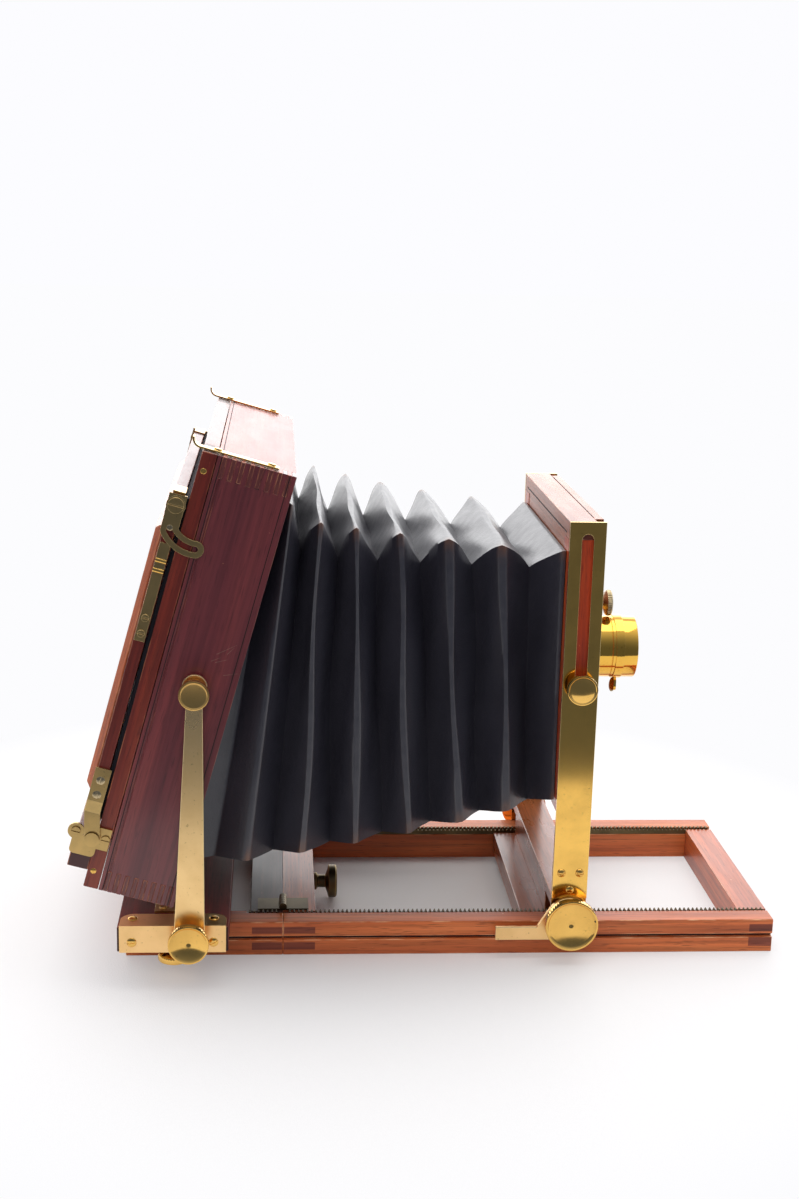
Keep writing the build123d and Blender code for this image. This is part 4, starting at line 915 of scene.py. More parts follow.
def turning(
    outline: np.ndarray,
    origin: Sequence[float],
    axis: Sequence[float],
    segments: int,
    milling: float = 0.0,
) -> Shape:
    """Points and faces of a turned piece.

    Each outline point of radius r and height h sweeps a circle about the axis. Where milling is set, the
    points at the largest radius go in by depth * (1 - cos(count * angle)) / 2, which cuts a milled edge.

    Args:
        outline: Rows of radius and height in millimetres, from one end of the axis to the other.
        origin: The place of height zero.
        axis: The direction of growing height.
        segments: Number of steps round the axis.
        milling: Depth of the milled edge in millimetres.

    Returns:
        The points and the faces.
    """
    side, other, lift = square_axes(axis)
    angle = np.linspace(0, 2 * np.pi, segments, endpoint=False)
    largest = outline[:, 0] > outline[:, 0].max() - RIM_BAND_MM
    groove = milling * (0.5 - 0.5 * np.cos(segments / SEGMENTS_PER_GROOVE * angle))
    radius = outline[:, :1] - largest[:, None] * groove[None]
    ring = np.cos(angle)[:, None] * side + np.sin(angle)[:, None] * other
    height = outline[:, 1][:, None, None] * lift
    points = np.asarray(origin, float) + height + radius[..., None] * ring[None]
    return points.reshape(-1, 3), grid_faces(len(outline), segments)


@dataclass(frozen=True)
class DomedScrew:
    """A slotted round-head screw that stands on the plane of its own X and Y.

    The head's height falls as the square root of 1 - r^2, less a straight slot across the middle whose
    walls are a steep smooth step. The slot's sizes are shares of the radius and the height.
    """

    radius_mm: float
    height_mm: float
    slot_half: float = 0.17
    slot_wall: float = 0.05
    slot_depth: float = 0.45
    slot_end: float = 0.995
    rim_fullness: float = 1.02
    sink_mm: float = 0.2
    segments: int = 64

    def head(self, turn: float) -> Shape:
        """Points and faces of the head.

        Args:
            turn: The slot's angle in radians.

        Returns:
            The points and the faces.
        """
        share = np.concatenate([np.linspace(0.02, 0.9, 14), [0.96, 0.99, 1.0, 1.0]])
        angle = np.linspace(0, 2 * np.pi, self.segments, endpoint=False)
        x = share[:, None] * np.cos(angle)[None]
        y = share[:, None] * np.sin(angle)[None]
        dome = self.height_mm * np.sqrt(np.clip(self.rim_fullness - share**2, 0, 1))
        dome[-1] = -self.sink_mm
        slot = np.clip((self.slot_half - np.abs(y)) / self.slot_wall, 0, 1)
        slot = slot * (share < self.slot_end)[:, None]
        height = dome[:, None] - self.slot_depth * self.height_mm * slot
        turned_x = self.radius_mm * (x * math.cos(turn) - y * math.sin(turn))
        turned_y = self.radius_mm * (x * math.sin(turn) + y * math.cos(turn))
        points = np.stack([turned_x, turned_y, height], axis=-1).reshape(-1, 3)
        middle = np.array([[0.0, 0.0, height[0].min()]])
        first = np.arange(self.segments)
        centre = np.full(self.segments, len(points))
        fan = np.stack([centre, (first + 1) % self.segments, first, first], axis=-1)
        faces = np.concatenate([grid_faces(len(share), self.segments), fan])
        return np.concatenate([points, middle]), faces

    def seated(self, places: Sequence[Tuple[Sequence[float], Sequence[float], float]]) -> Shape:
        """Several such screws in one set of points.

        Args:
            places: For each screw its seat, its outward direction and its slot's angle.

        Returns:
            The points and the faces of all of them.
        """
        screws = []
        for seat, outward, turn in places:
            points, faces = self.head(turn)
            screws.append((np.asarray(seat, float) + points @ square_axes(outward), faces))
        return joined(screws)


@dataclass(frozen=True)
class ClampKnob:
    """A turned clamp knob: shank, boss, flared head with a milled edge, and a dished face.

    The face lies depth * (1 - (r / rim)^2) below the rim, where the depth is the hollow's share of the
    head, with an optional small cone at its centre. Where the hollow is below zero, the face is crowned.
    """

    shank_mm: float
    boss_mm: float
    radius_mm: float
    head_mm: float
    dimple_mm: float = 0.0
    hollow: float = 0.55
    milling_mm: float = 0.12
    segments: int = 192
    shank_radius_mm: float = 2.2
    lip_mm: float = 1.1
    lip_fall_mm: float = 0.3
    dimple_radius_mm: float = 1.3

    def outline(self) -> np.ndarray:
        """Half outline from the shank's end to the middle of the face.

        Returns:
            Rows of radius and height.
        """
        radius, head, boss = self.radius_mm, self.head_mm, self.boss_mm
        rim = boss + head
        edge = radius - self.lip_mm
        stem = [
            (0.0, -self.shank_mm),
            (self.shank_radius_mm, -self.shank_mm),
            (self.shank_radius_mm, 0.0),
            (radius * 0.5, 0.0),
            (radius * 0.42, boss),
        ]
        flare = [
            (radius * 0.88, boss + head * 0.24),
            (radius * 0.97, boss + head * 0.34),
            (radius, boss + head * 0.45),
            (radius, rim - 0.45),
            (radius - 0.15, rim - 0.15),
            (radius - 0.45, rim),
            (radius - 0.8, rim),
            (edge, rim - 0.25),
        ]
        share = np.linspace(0.97, 0.0, 14)
        cone = np.clip(1 - share * edge / self.dimple_radius_mm, 0, 1)
        depth = self.lip_fall_mm + head * self.hollow * (1 - share**2) + self.dimple_mm * cone
        dish = np.stack([share * edge, rim - depth], axis=-1)
        return np.concatenate([np.array(stem + flare), dish])

    def turned(self, seat: Sequence[float], axis: Sequence[float]) -> Shape:
        """The knob's points and faces where it stands on its seat and faces along the axis."""
        return turning(self.outline(), seat, axis, self.segments, self.milling_mm)


@dataclass
class Workshop:
    """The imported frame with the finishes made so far, and the ways in which a piece joins it."""

    frame: dict
    made: Dict[str, bpy.types.Material] = field(default_factory=dict)
    pieces: List[str] = field(default_factory=list)
    merge_m: float = 2e-6
    flat_degrees: float = 0.8
    sharp_degrees: float = 30.0
    normal_weight: int = 80

    def finish(self, finish: Finish) -> bpy.types.Material:
        """The material of a finish, made once."""
        if finish.name not in self.made:
            self.made[finish.name] = finish.build()
        return self.made[finish.name]

    def body_of(self, node: str) -> str:
        """The body that carries a node."""
        bodies = self.frame["record"]["behaviour"]["bodies"]
        return next(body for body, nodes in bodies.items() if node in nodes)

    def dress(self, piece: bpy.types.Object, finishes: Sequence[Finish], slot: str) -> None:
        """Give a piece its materials.

        Args:
            piece: The piece's object.
            finishes: Its finishes, in the order of the faces' material numbers.
            slot: The record's material slot, which is not used.
        """
        piece.data.materials.clear()
        for finish in finishes:
            piece.data.materials.append(self.finish(finish))

    def seat(self, piece: bpy.types.Object, body: str, nodes: Sequence[str] = ()) -> None:
        """Let a piece ride on a body, and stand for nodes if it replaces any.

        Args:
            piece: The piece's object.
            body: The body that carries it.
            nodes: The nodes that it replaces.
        """
        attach(piece, body)
        if nodes:
            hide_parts(*nodes)
        self.pieces.append(piece.name)
        LOG.info("piece %s rides on %s", piece.name, body)

    def soften(self, node: str, finish: Finish, slot: str, width_mm: float) -> None:
        """Stand in for a node with a copy of its mesh whose edges are eased.

        The copy is merged, its flat faces are joined, and every sharp edge gets a small round. The faces
        of that round carry the value "worn", which the finishes rub brighter.

        Args:
            node: The node's name.
            finish: The finish that the copy gets.
            slot: The record's material slot.
            width_mm: The round's width in millimetres.
        """
        mesh = self.frame["nodes"][node].data.copy()
        mesh.name = f"{node}_eased"
        shell = bmesh.new()
        shell.from_mesh(mesh)
        bmesh.ops.remove_doubles(shell, verts=shell.verts, dist=self.merge_m)
        bmesh.ops.dissolve_limit(
            shell,
            angle_limit=math.radians(self.flat_degrees),
            verts=shell.verts,
            edges=shell.edges,
            use_dissolve_boundaries=False,
        )
        worn = shell.faces.layers.float.new("worn")
        limit = math.radians(self.sharp_degrees)
        shared = [edge for edge in shell.edges if len(edge.link_faces) == 2]
        rounded = bmesh.ops.bevel(
            shell,
            geom=[edge for edge in shared if edge.calc_face_angle(0.0) > limit],
            offset=width_mm * MM,
            offset_type="OFFSET",
            segments=2,
            profile=0.5,
            affect="EDGES",
            clamp_overlap=True,
        )
        for face in rounded["faces"]:
            face[worn] = 1.0
        shell.to_mesh(mesh)
        shell.free()
        piece = bpy.data.objects.new(f"{node}_eased", mesh)
        bpy.context.scene.collection.objects.link(piece)
        mesh.polygons.foreach_set("use_smooth", np.ones(len(mesh.polygons), bool))
        weigh = piece.modifiers.new("face_weights", "WEIGHTED_NORMAL")
        weigh.keep_sharp = False
        weigh.weight = self.normal_weight
        self.dress(piece, [finish], slot)
        self.seat(piece, self.body_of(node), [node])

    def add_piece(
        self,
        name: str,
        shape: Shape,
        finish: Finish,
        slot: str,
        body: str,
        nodes: Sequence[str] = (),
        angle: float = SMOOTH_DEGREES,
    ) -> None:
        """Add a piece that is worked out here, on its own or in the place of nodes.

        Args:
            name: The piece's name.
            shape: Its points in millimetres and its faces.
            finish: Its finish.
            slot: The record's material slot.
            body: The body that it rides on.
            nodes: The nodes that it stands for, if any.
            angle: The angle in degrees above which an edge stays sharp.
        """
        piece = mesh_object(name, shape)
        smooth(piece, angle)
        self.dress(piece, [finish], slot)
        self.seat(piece, body, nodes)

    def paint(self, node: str, finish: Finish) -> None:
        """Give a node that stays as it is its finish.

        Args:
            node: The node's name.
            finish: The finish that it gets.
        """
        target = self.frame["nodes"][node]
        target.data.materials.clear()
        target.data.materials.append(self.finish(finish))
        LOG.info("node %s wears %s", node, finish.name)


@dataclass
class Bed:
    """The two lengths of rail with their cross-rails, racks, hinges, lock screw and tripod bush."""

    workshop: Workshop
    wood_round_mm: float = 0.45
    brass_round_mm: float = 0.25
    rail_out_mm: float = 66.25
    rails_mm: Tuple[Span, ...] = ((-23.5, 48.6), (49.4, 282.0))
    # Depth and height of the thin dark strips in the rails' grooves, which are painted shade.
    shade_depth_mm: Span = (2.1, 1.85)
    shade_z_mm: Span = (7.65, 9.15)
    tenon_sink_mm: float = 0.4
    tenon_proud_mm: float = 0.05
    tenons_mm: Tuple[Tuple[Span, Span], ...] = (
        ((271.0, 282.2), (10.4, 14.1)),
        ((271.0, 282.2), (3.0, 7.4)),
        ((49.4, 64.0), (10.7, 13.9)),
        ((49.4, 64.0), (2.6, 6.3)),
        ((34.5, 48.6), (10.7, 13.9)),
        ((34.5, 48.6), (2.6, 6.3)),
    )

    def build(self) -> None:
        """Dress the bed's woods and fittings."""
        for node in ("rear_rails", "front_rails"):
            self.workshop.soften(node, BED_AMBER, "mahogany", self.wood_round_mm)
        for node in ("front_cross_rails", "base_board"):
            self.workshop.soften(node, BED_AMBER_ACROSS, "mahogany", self.wood_round_mm)
        self.workshop.soften("rear_cross_rail", CROSS_RAIL_DARK, "mahogany", self.wood_round_mm)
        self.workshop.paint("racks", RACK_BRASS)
        for node in ("tripod_bush", "swing_pivot", "swing_bar"):
            self.workshop.soften(node, OLIVE_BRASS, "brass", self.brass_round_mm)
        # The hinges' dark brass is partly their own dark metal and partly painted shade for the shadow they
        # lie in under the bellows.
        for node in ("bed_hinges", "bed_lock_screw"):
            self.workshop.soften(node, RACK_BRASS, "brass", self.brass_round_mm)
        self.rail_marks()

    def rail_marks(self) -> None:
        """Show the tenons' ends on the rails' outer faces, and paint shade into the rails' grooves with
        thin dark strips.
        """
        face = (self.rail_out_mm - self.tenon_sink_mm, self.rail_out_mm + self.tenon_proud_mm)
        # The dark strips at the back of each groove are painted shade, standing in for the shadow inside
        # it.
        groove = (self.rail_out_mm - self.shade_depth_mm[0], self.rail_out_mm - self.shade_depth_mm[1])
        tenons = []
        shade_strips = []
        for _, sign in SIDES:
            tenons.extend(slab(length, face, height, sign) for length, height in self.tenons_mm)
            shade_strips.extend(slab(length, groove, self.shade_z_mm, sign) for length in self.rails_mm)
        self.workshop.add_piece("rail_tenon_ends", joined(tenons), END_GRAIN, "mahogany", "bed")
        self.workshop.add_piece("groove_painted_shade", joined(shade_strips), SCRIBED_AND_SHADE, "mahogany", "bed")


@dataclass
class SwingBase:
    """The wide board under the back with its angle plates, hinge brackets and clamp knobs."""

    workshop: Workshop
    board_round_mm: float = 0.5
    plate_round_mm: float = 0.3
    bracket_round_mm: float = 0.2
    plate_out_mm: float = 102.3
    plate_top_mm: float = 31.3
    screw: DomedScrew = DomedScrew(radius_mm=2.2, height_mm=0.8)
    screw_x_mm: float = 18.0
    screw_z_mm: float = 23.5
    screw_in_mm: float = 8.0
    side_slots: Span = (0.1, 0.5)
    top_slot: float = 0.7
    knob: ClampKnob = ClampKnob(
        shank_mm=10.8, boss_mm=3.0, radius_mm=7.5, head_mm=4.2, milling_mm=0.16, segments=160
    )
    knob_y_mm: float = 88.0
    knob_seat_mm: float = 16.2

    def build(self) -> None:
        """Dress the board and its fittings, and turn its clamp knobs."""
        self.workshop.soften("swing_board", BOARD_DARK, "mahogany", self.board_round_mm)
        self.workshop.soften("strut_plates", PLATE_BRASS, "brass", self.plate_round_mm)
        self.workshop.soften("back_hinge_brackets", OLIVE_BRASS, "brass", self.bracket_round_mm)
        places = []
        for _, sign in SIDES:
            for x, turn in zip((-self.screw_x_mm, self.screw_x_mm), self.side_slots):
                beside = (x, sign * self.plate_out_mm, self.screw_z_mm)
                above = (x, sign * (self.plate_out_mm - self.screw_in_mm), self.plate_top_mm)
                places.append((beside, (0, sign, 0), turn))
                places.append((above, (0, 0, 1), self.top_slot))
        screws = self.screw.seated(places)
        self.workshop.add_piece(
            "angle_plate_screws", screws, TURNED_BRASS, "brass", "swing_base", ["plate_screws"]
        )
        for name, sign in SIDES:
            knob = self.knob.turned((0, sign * self.knob_y_mm, self.knob_seat_mm), (0, 0, -1))
            clamp = f"swing_clamp_{name}"
            self.workshop.add_piece(clamp, knob, TURNED_BRASS, "brass", clamp, [f"swing_knob_{name}"])


@dataclass
class Struts:
    """The two flat struts with the clamp knobs at their feet and heads."""

    workshop: Workshop
    round_mm: float = 0.3
    foot_mm: Span = (7.4, 26.5)
    trunnion_mm: Span = (-19.2, 101.2)
    outside_mm: float = 104.9
    foot_knob: ClampKnob = ClampKnob(
        shank_mm=12.9, boss_mm=2.6, radius_mm=9.0, head_mm=5.2, dimple_mm=0.5, hollow=0.45
    )
    head_knob: ClampKnob = ClampKnob(shank_mm=12.9, boss_mm=2.0, radius_mm=6.6, head_mm=4.4, hollow=0.08)

    def build(self) -> None:
        """Dress the struts and turn their knobs."""
        self.workshop.soften("struts", STRUT_BRASS, "brass", self.round_mm)
        head_x, _, head_z = back_point(np.array([self.trunnion_mm[0], 0.0, self.trunnion_mm[1]]))
        for name, sign in SIDES:
            knobs = (
                ("strut", self.foot_mm, self.foot_knob, TURNED_BRASS),
                ("tilt", (head_x, head_z), self.head_knob, SATIN_BRASS),
            )
            for kind, (x, z), knob, finish in knobs:
                shape = knob.turned((x, sign * self.outside_mm, z), (0, sign, 0))
                clamp = f"{kind}_clamp_{name}"
                self.workshop.add_piece(
                    f"{clamp}_turned", shape, finish, "brass", clamp, [f"{kind}_knob_{name}"]
                )


@dataclass
class Back:
    """The finger-jointed box with its hinge leaves and the spring clips on its top."""

    workshop: Workshop
    wood_round_mm: float = 0.4
    clip_round_mm: float = 0.15
    hinge_round_mm: float = 0.2
    half_mm: float = 100.0
    roof_mm: float = 201.2
    scribed_x_mm: Span = (-34.3, -5.0)
    scribed_y_mm: Span = (-99.4, 99.4)
    scribed_z_mm: Span = (1.8, 200.6)
    scribe_half_mm: float = 0.2
    scribe_sink_mm: float = 0.2
    scribe_proud_mm: float = 0.03
    scratch_half_mm: float = 0.14
    scratch_taper: float = 0.4
    scratch_sink_mm: float = 0.1
    scratch_proud_mm: float = 0.02
    scratches_mm: Tuple[Tuple[Span, Span], ...] = (
        ((-14.3, 118.4), (-7.0, 124.6)),
        ((-9.1, 110.1), (-3.0, 112.6)),
        ((-14.0, 114.7), (-9.2, 117.3)),
        ((-9.9, 119.6), (-7.8, 123.1)),
        ((-15.8, 114.8), (-12.3, 117.4)),
    )

    def build(self) -> None:
        """Dress the box's boards and its fittings, and mark its faces."""
        for name, _ in SIDES:
            self.workshop.soften(f"box_side_{name}", BOX_RED, "mahogany", self.wood_round_mm)
            self.workshop.soften(f"top_catch_{name}", SHEET_BRASS, "brass", self.clip_round_mm)
        for name in ("bottom", "top"):
            self.workshop.soften(f"box_{name}", BOX_RED_ACROSS, "mahogany", self.wood_round_mm)
        self.workshop.soften("back_hinge_leaves", OLIVE_BRASS, "brass", self.hinge_round_mm)
        self.scribe()
        marks = joined([self.scratch(np.array(start), np.array(end)) for start, end in self.scratches_mm])
        self.workshop.add_piece("box_scratches", leaning(marks), SCRATCHED, "mahogany", "back")

    def scribe(self) -> None:
        """Scribe dark lines along both edges of the box's sides, and along the rear edge of its top."""

        def proud(face: float) -> Span:
            """The span of a line that starts below a face and stands a little above it."""
            return (face - self.scribe_sink_mm, face + self.scribe_proud_mm)

        widths = [(x - self.scribe_half_mm, x + self.scribe_half_mm) for x in self.scribed_x_mm]
        lines = []
        for width in widths:
            for _, sign in SIDES:
                lines.append(slab(width, proud(self.half_mm), self.scribed_z_mm, sign))
        lines.append(slab(widths[0], self.scribed_y_mm, proud(self.roof_mm)))
        self.workshop.add_piece("box_scribed_lines", leaning(joined(lines)), SCRIBED_AND_SHADE, "mahogany", "back")

    def scratch(self, start: np.ndarray, end: np.ndarray) -> Shape:
        """One thin tapering scratch on the right-hand side of the box.

        Args:
            start: Depth and height of its wide end in the back's own frame.
            end: Depth and height of its narrow end.

        Returns:
            The points and the faces.
        """
        along = (end - start) / np.linalg.norm(end - start)
        wide = self.scratch_half_mm * np.array([-along[1], along[0]])
        narrow = self.scratch_taper * wide
        corners = np.stack([start - wide, end - narrow, end + narrow, start + wide])
        return plate(corners, (self.scratch_sink_mm - self.half_mm, -self.half_mm - self.scratch_proud_mm))


@dataclass
class GroundGlassBack:
    """The reversing frame, and the focusing screen that hinges on it with straps, springs and catches."""

    workshop: Workshop
    wood_round_mm: float = 0.4
    bead_round_mm: float = 0.3
    glass_round_mm: float = 0.2
    brass_round_mm: float = 0.15
    frame_rear_mm: float = -42.8
    screen_front_mm: float = -44.9
    screen_rear_mm: float = -50.0
    screen_half_mm: float = 99.0
    screen_floor_mm: float = 31.2
    screen_roof_mm: float = 181.2
    strap_x_mm: float = -47.45
    strap_y_mm: float = 100.2
    strap_screws_z_mm: Span = (50.5, 43.8)
    frame_screw_x_mm: float = -40.2
    frame_half_mm: float = 100.0
    frame_screws_z_mm: Span = (193.0, 9.2)
    catch_y_mm: float = 101.5
    catch_screw_z_mm: float = 166.4
    strap_screw: DomedScrew = DomedScrew(radius_mm=1.9, height_mm=0.35)
    small_screw: DomedScrew = DomedScrew(radius_mm=1.3, height_mm=0.35)
    first_slot: float = 1.2
    slot_step: float = 0.5
    catch_head_mm: Tuple[Span, Span, Span] = ((-51.3, -43.6), (100.34, 101.46), (172.0, 181.0))
    cap_proud_mm: float = 0.1
    cap_y_mm: Span = (85.0, 99.3)
    cap_z_mm: Span = (181.0, 181.9)
    ribs_z_mm: Span = (146.9, 151.3)
    rib_radius_mm: float = 1.2
    rib_half_mm: float = 2.35
    rib_segments: int = 32
    pile_mm: float = 1.75
    pile_waver_mm: float = 0.1
    pile_waves: int = 97
    strip_sink_mm: float = 0.1
    strip_mm: Tuple[Span, ...] = ((1.2, 0.0), (1.6, 0.35), (1.6, 1.0), (8.0, 1.0), (8.0, 0.35), (8.4, 0.0))
    strip_per_side: int = 80
    strip_degrees: float = 50.0

    def build(self) -> None:
        """Dress the frames, and add the light trap, the small screws, the corner caps and the ribs."""
        self.workshop.soften("reversing_stiles", FRAME_RED, "mahogany", self.wood_round_mm)
        for node in ("reversing_top_rail", "reversing_bottom_rail"):
            self.workshop.soften(node, FRAME_RED_ACROSS, "mahogany", self.wood_round_mm)
        self.workshop.soften("screen_stiles", FRAME_RED, "mahogany", self.wood_round_mm)
        self.workshop.soften("screen_rails", FRAME_RED_ACROSS, "mahogany", self.wood_round_mm)
        self.workshop.soften("glazing_beads", BEAD_ORANGE, "mahogany", self.bead_round_mm)
        self.workshop.soften("ground_glass", GROUND_GLASS, "ground_glass", self.glass_round_mm)
        for node in ("screen_hinge_plates", "hinge_straps", "catch_springs"):
            self.workshop.soften(node, OLIVE_BRASS, "brass", self.brass_round_mm)
        for name, _ in SIDES:
            self.workshop.soften(f"screen_catch_{name}", OLIVE_BRASS, "brass", self.brass_round_mm)
        self.light_trap()
        self.screws()
        self.plates()

    def light_trap(self) -> None:
        """Glue a velvet strip round the reversing frame, in the gap in front of the focusing screen.

        The strip is a square ring: an outline of distance inwards and share of the pile's height, carried
        round the screen, with a pile that wavers as the sine of the place along it.
        """
        middle = (self.screen_floor_mm + self.screen_roof_mm) / 2
        tall = (self.screen_roof_mm - self.screen_floor_mm) / 2
        across, up = rectangle_loop(self.strip_per_side)
        place = np.linspace(0, 2 * np.pi, len(across), endpoint=False)
        pile = self.pile_mm + self.pile_waver_mm * np.sin(self.pile_waves * place)
        inward, height = np.array(self.strip_mm).T
        depth = self.frame_rear_mm + self.strip_sink_mm - height[:, None] * pile[None]
        y = (self.screen_half_mm - inward)[:, None] * across[None]
        z = middle + (tall - inward)[:, None] * up[None]
        points = back_point(np.stack([depth, y, z], -1)).reshape(-1, 3)
        strip = (points, grid_faces(len(inward), len(across), wrapped=True))
        self.workshop.add_piece(
            "velvet_light_trap",
            strip,
            VELVET,
            "bellows_leather",
            "reversing_back",
            angle=self.strip_degrees,
        )

    def heads(
        self, screw: DomedScrew, x: float, y: float, heights: Sequence[float], signs: Sequence[int]
    ) -> Shape:
        """Screw heads on the sides of the back.

        Args:
            screw: The kind of screw.
            x: The screws' depth in the back's own frame.
            y: Their distance from the middle.
            heights: Their heights.
            signs: 1 for the left-hand side, -1 for the right-hand one.

        Returns:
            The points and the faces of all of them.
        """
        seats = []
        for sign in signs:
            for number, z in enumerate(heights):
                turn = self.first_slot + self.slot_step * number
                seats.append((back_point(np.array([x, sign * y, z])), (0, sign, 0), turn))
        return screw.seated(seats)

    def screws(self) -> None:
        """Seat the small slotted screws of the hinge straps, the reversing frame and the catches."""
        both = [sign for _, sign in SIDES]
        straps = self.heads(
            self.strap_screw, self.strap_x_mm, self.strap_y_mm, self.strap_screws_z_mm, both
        )
        self.workshop.add_piece("hinge_strap_screws", straps, SCREW_BRASS, "brass", "focusing_screen")
        frame = self.heads(
            self.small_screw, self.frame_screw_x_mm, self.frame_half_mm, self.frame_screws_z_mm, both
        )
        self.workshop.add_piece("reversing_frame_screws", frame, TURNED_BRASS, "brass", "reversing_back")
        for name, sign in SIDES:
            catch = self.heads(
                self.small_screw, self.strap_x_mm, self.catch_y_mm, [self.catch_screw_z_mm], [sign]
            )
            body = f"catch_{name}"
            self.workshop.add_piece(f"catch_stop_screw_{name}", catch, SCREW_BRASS, "brass", body)

    def plates(self) -> None:
        """Square the catches' heads, cap the screen's top corners and raise two ribs across each spring."""
        caps = []
        ribs = []
        depth = (self.screen_rear_mm - self.cap_proud_mm, self.screen_front_mm + self.cap_proud_mm)
        forward = (math.cos(LEAN), 0, -math.sin(LEAN))
        radius, half = self.rib_radius_mm, self.rib_half_mm
        rib = np.array([(0.0, -half), (radius, -half), (radius, half), (0.0, half)])
        for name, sign in SIDES:
            head = leaning(slab(*self.catch_head_mm, sign))
            self.workshop.add_piece(f"catch_head_{name}", head, OLIVE_BRASS, "brass", f"catch_{name}")
            caps.append(slab(depth, self.cap_y_mm, self.cap_z_mm, sign))
            for z in self.ribs_z_mm:
                middle = back_point(np.array([self.strap_x_mm, sign * self.screen_half_mm, z]))
                ribs.append(turning(rib, middle, forward, self.rib_segments))
        body = "focusing_screen"
        self.workshop.add_piece("screen_corner_caps", leaning(joined(caps)), SHEET_BRASS, "brass", body)
        self.workshop.add_piece("spring_ribs", joined(ribs), TURNED_BRASS, "brass", body)


@dataclass
class FrontStandard:
    """The carriage with its sill, shoes and slotted uprights, and the focusing knobs and lock lever."""

    workshop: Workshop
    wood_round_mm: float = 0.45
    sheet_round_mm: float = 0.25
    lever_round_mm: float = 0.3
    shaft_round_mm: float = 0.08
    middle_x_mm: float = 182.75
    axle_z_mm: float = 19.693
    upright_out_mm: float = 69.25
    foot_z_mm: float = 29.0
    screw: DomedScrew = DomedScrew(radius_mm=2.0, height_mm=1.1)
    screw_places: Tuple[Tuple[float, float, float], ...] = (
        (-4.3, 12.8, 0.15),
        (4.3, 12.8, -0.1),
        (0.0, 4.4, 1.5),
    )
    web_mm: Tuple[Span, ...] = ((167.6, 15.3), (173.8, 25.2), (180.0, 22.0), (178.0, 12.0))
    web_y_mm: Span = (-69.6, -71.72)
    pin_mm: Tuple[Span, ...] = ((0.0, 0.0), (0.6, 0.0), (0.6, 1.0), (0.0, 1.2))
    pin_y_mm: float = -79.0
    pin_off_axle_mm: Span = (11.0, 2.4)
    pin_segments: int = 24
    knob_seats_mm: Span = (68.05, 72.05)
    knob_back_mm: float = 74.65
    knob_radius_mm: float = 12.4
    knob_thick_mm: float = 5.5
    knob_lip_mm: float = 1.4
    knob_dish_mm: Span = (0.5, 1.9)
    knob_dot_mm: float = 0.7
    knob_dot_radius_mm: float = 1.6
    knob_milling_mm: float = 0.14
    knob_segments: int = 240
    boss_radius_mm: float = 4.5
    axle_radius_mm: float = 2.5

    def build(self) -> None:
        """Dress the standard, seat its screws and turn the focusing knobs."""
        # The carriage and sill get painted shade: a darker copy of the bed's wood.
        for node in ("carriage_board", "standard_sill"):
            self.workshop.soften(node, CARRIAGE_SHADED_RED, "mahogany", self.wood_round_mm)
        for node in ("rail_shoes", "uprights"):
            self.workshop.soften(node, SHEET_BRASS, "brass", self.sheet_round_mm)
        self.workshop.soften("lock_lever", PLATE_BRASS, "brass", self.lever_round_mm)
        self.workshop.soften("pinion_shaft", RACK_BRASS, "brass", self.shaft_round_mm)
        places = []
        for _, sign in SIDES:
            for x, z, turn in self.screw_places:
                seat = (self.middle_x_mm + x, sign * self.upright_out_mm, self.foot_z_mm + z)
                places.append((seat, (0, sign, 0), turn))
        screws = self.screw.seated(places)
        self.workshop.add_piece(
            "upright_round_screws", screws, TURNED_BRASS, "brass", "standard", ["upright_screws"]
        )
        self.knobs()
        self.lever_web()

    def knob_outline(self, stem: float) -> np.ndarray:
        """Half outline of a focusing knob: boss, flared back, rim and dished face with a centre dot.

        The dish lies depth * (1 - (r / rim)^2) below the lip, and the dot is a small cone.

        Args:
            stem: The boss's length in millimetres.

        Returns:
            Rows of radius and height.
        """
        radius = self.knob_radius_mm
        rim = stem + self.knob_thick_mm
        turned = [
            (self.axle_radius_mm, 0.0),
            (self.boss_radius_mm, 0.0),
            (self.boss_radius_mm, stem),
            (radius * 0.9, stem + 1.0),
            (radius - 0.15, stem + 1.5),
            (radius, stem + 1.9),
            (radius, rim - 0.6),
            (radius - 0.15, rim - 0.2),
            (radius - 0.5, rim),
            (radius - 1.0, rim),
            (radius - 1.35, rim - 0.3),
        ]
        share = np.linspace(0.97, 0.0, 18)
        lip = radius - self.knob_lip_mm
        dot = np.clip(1 - share * lip / self.knob_dot_radius_mm, 0, 1)
        depth = self.knob_dish_mm[0] + self.knob_dish_mm[1] * (1 - share**2) + self.knob_dot_mm * dot
        dish = np.stack([share * lip, rim - depth], axis=-1)
        return np.concatenate([np.array(turned), dish])

    def knobs(self) -> None:
        """Turn the two focusing knobs, whose bosses reach in as far as the lever or the upright."""
        parts = []
        for (_, sign), seat in zip(SIDES, self.knob_seats_mm):
            outline = self.knob_outline(self.knob_back_mm - seat)
            place = (self.middle_x_mm, sign * seat, self.axle_z_mm)
            parts.append(turning(outline, place, (0, sign, 0), self.knob_segments, self.knob_milling_mm))
        self.workshop.add_piece(
            "focusing_knobs", joined(parts), TURNED_BRASS, "brass", "focus_pinion", ["focus_knobs"]
        )

    def lever_web(self) -> None:
        """Fill the corner between the lock lever's bar and its hub, and set the stop pin in the knob."""
        web = plate(np.array(self.web_mm), self.web_y_mm)
        self.workshop.add_piece("lock_lever_web", web, PLATE_BRASS, "brass", "focus_lock")
        forward, up = self.pin_off_axle_mm
        seat = (self.middle_x_mm + forward, self.pin_y_mm, self.axle_z_mm + up)
        pin = turning(np.array(self.pin_mm), seat, (0, -1, 0), self.pin_segments)
        self.workshop.add_piece("knob_stop_pin", pin, RACK_BRASS, "brass", "focus_pinion")


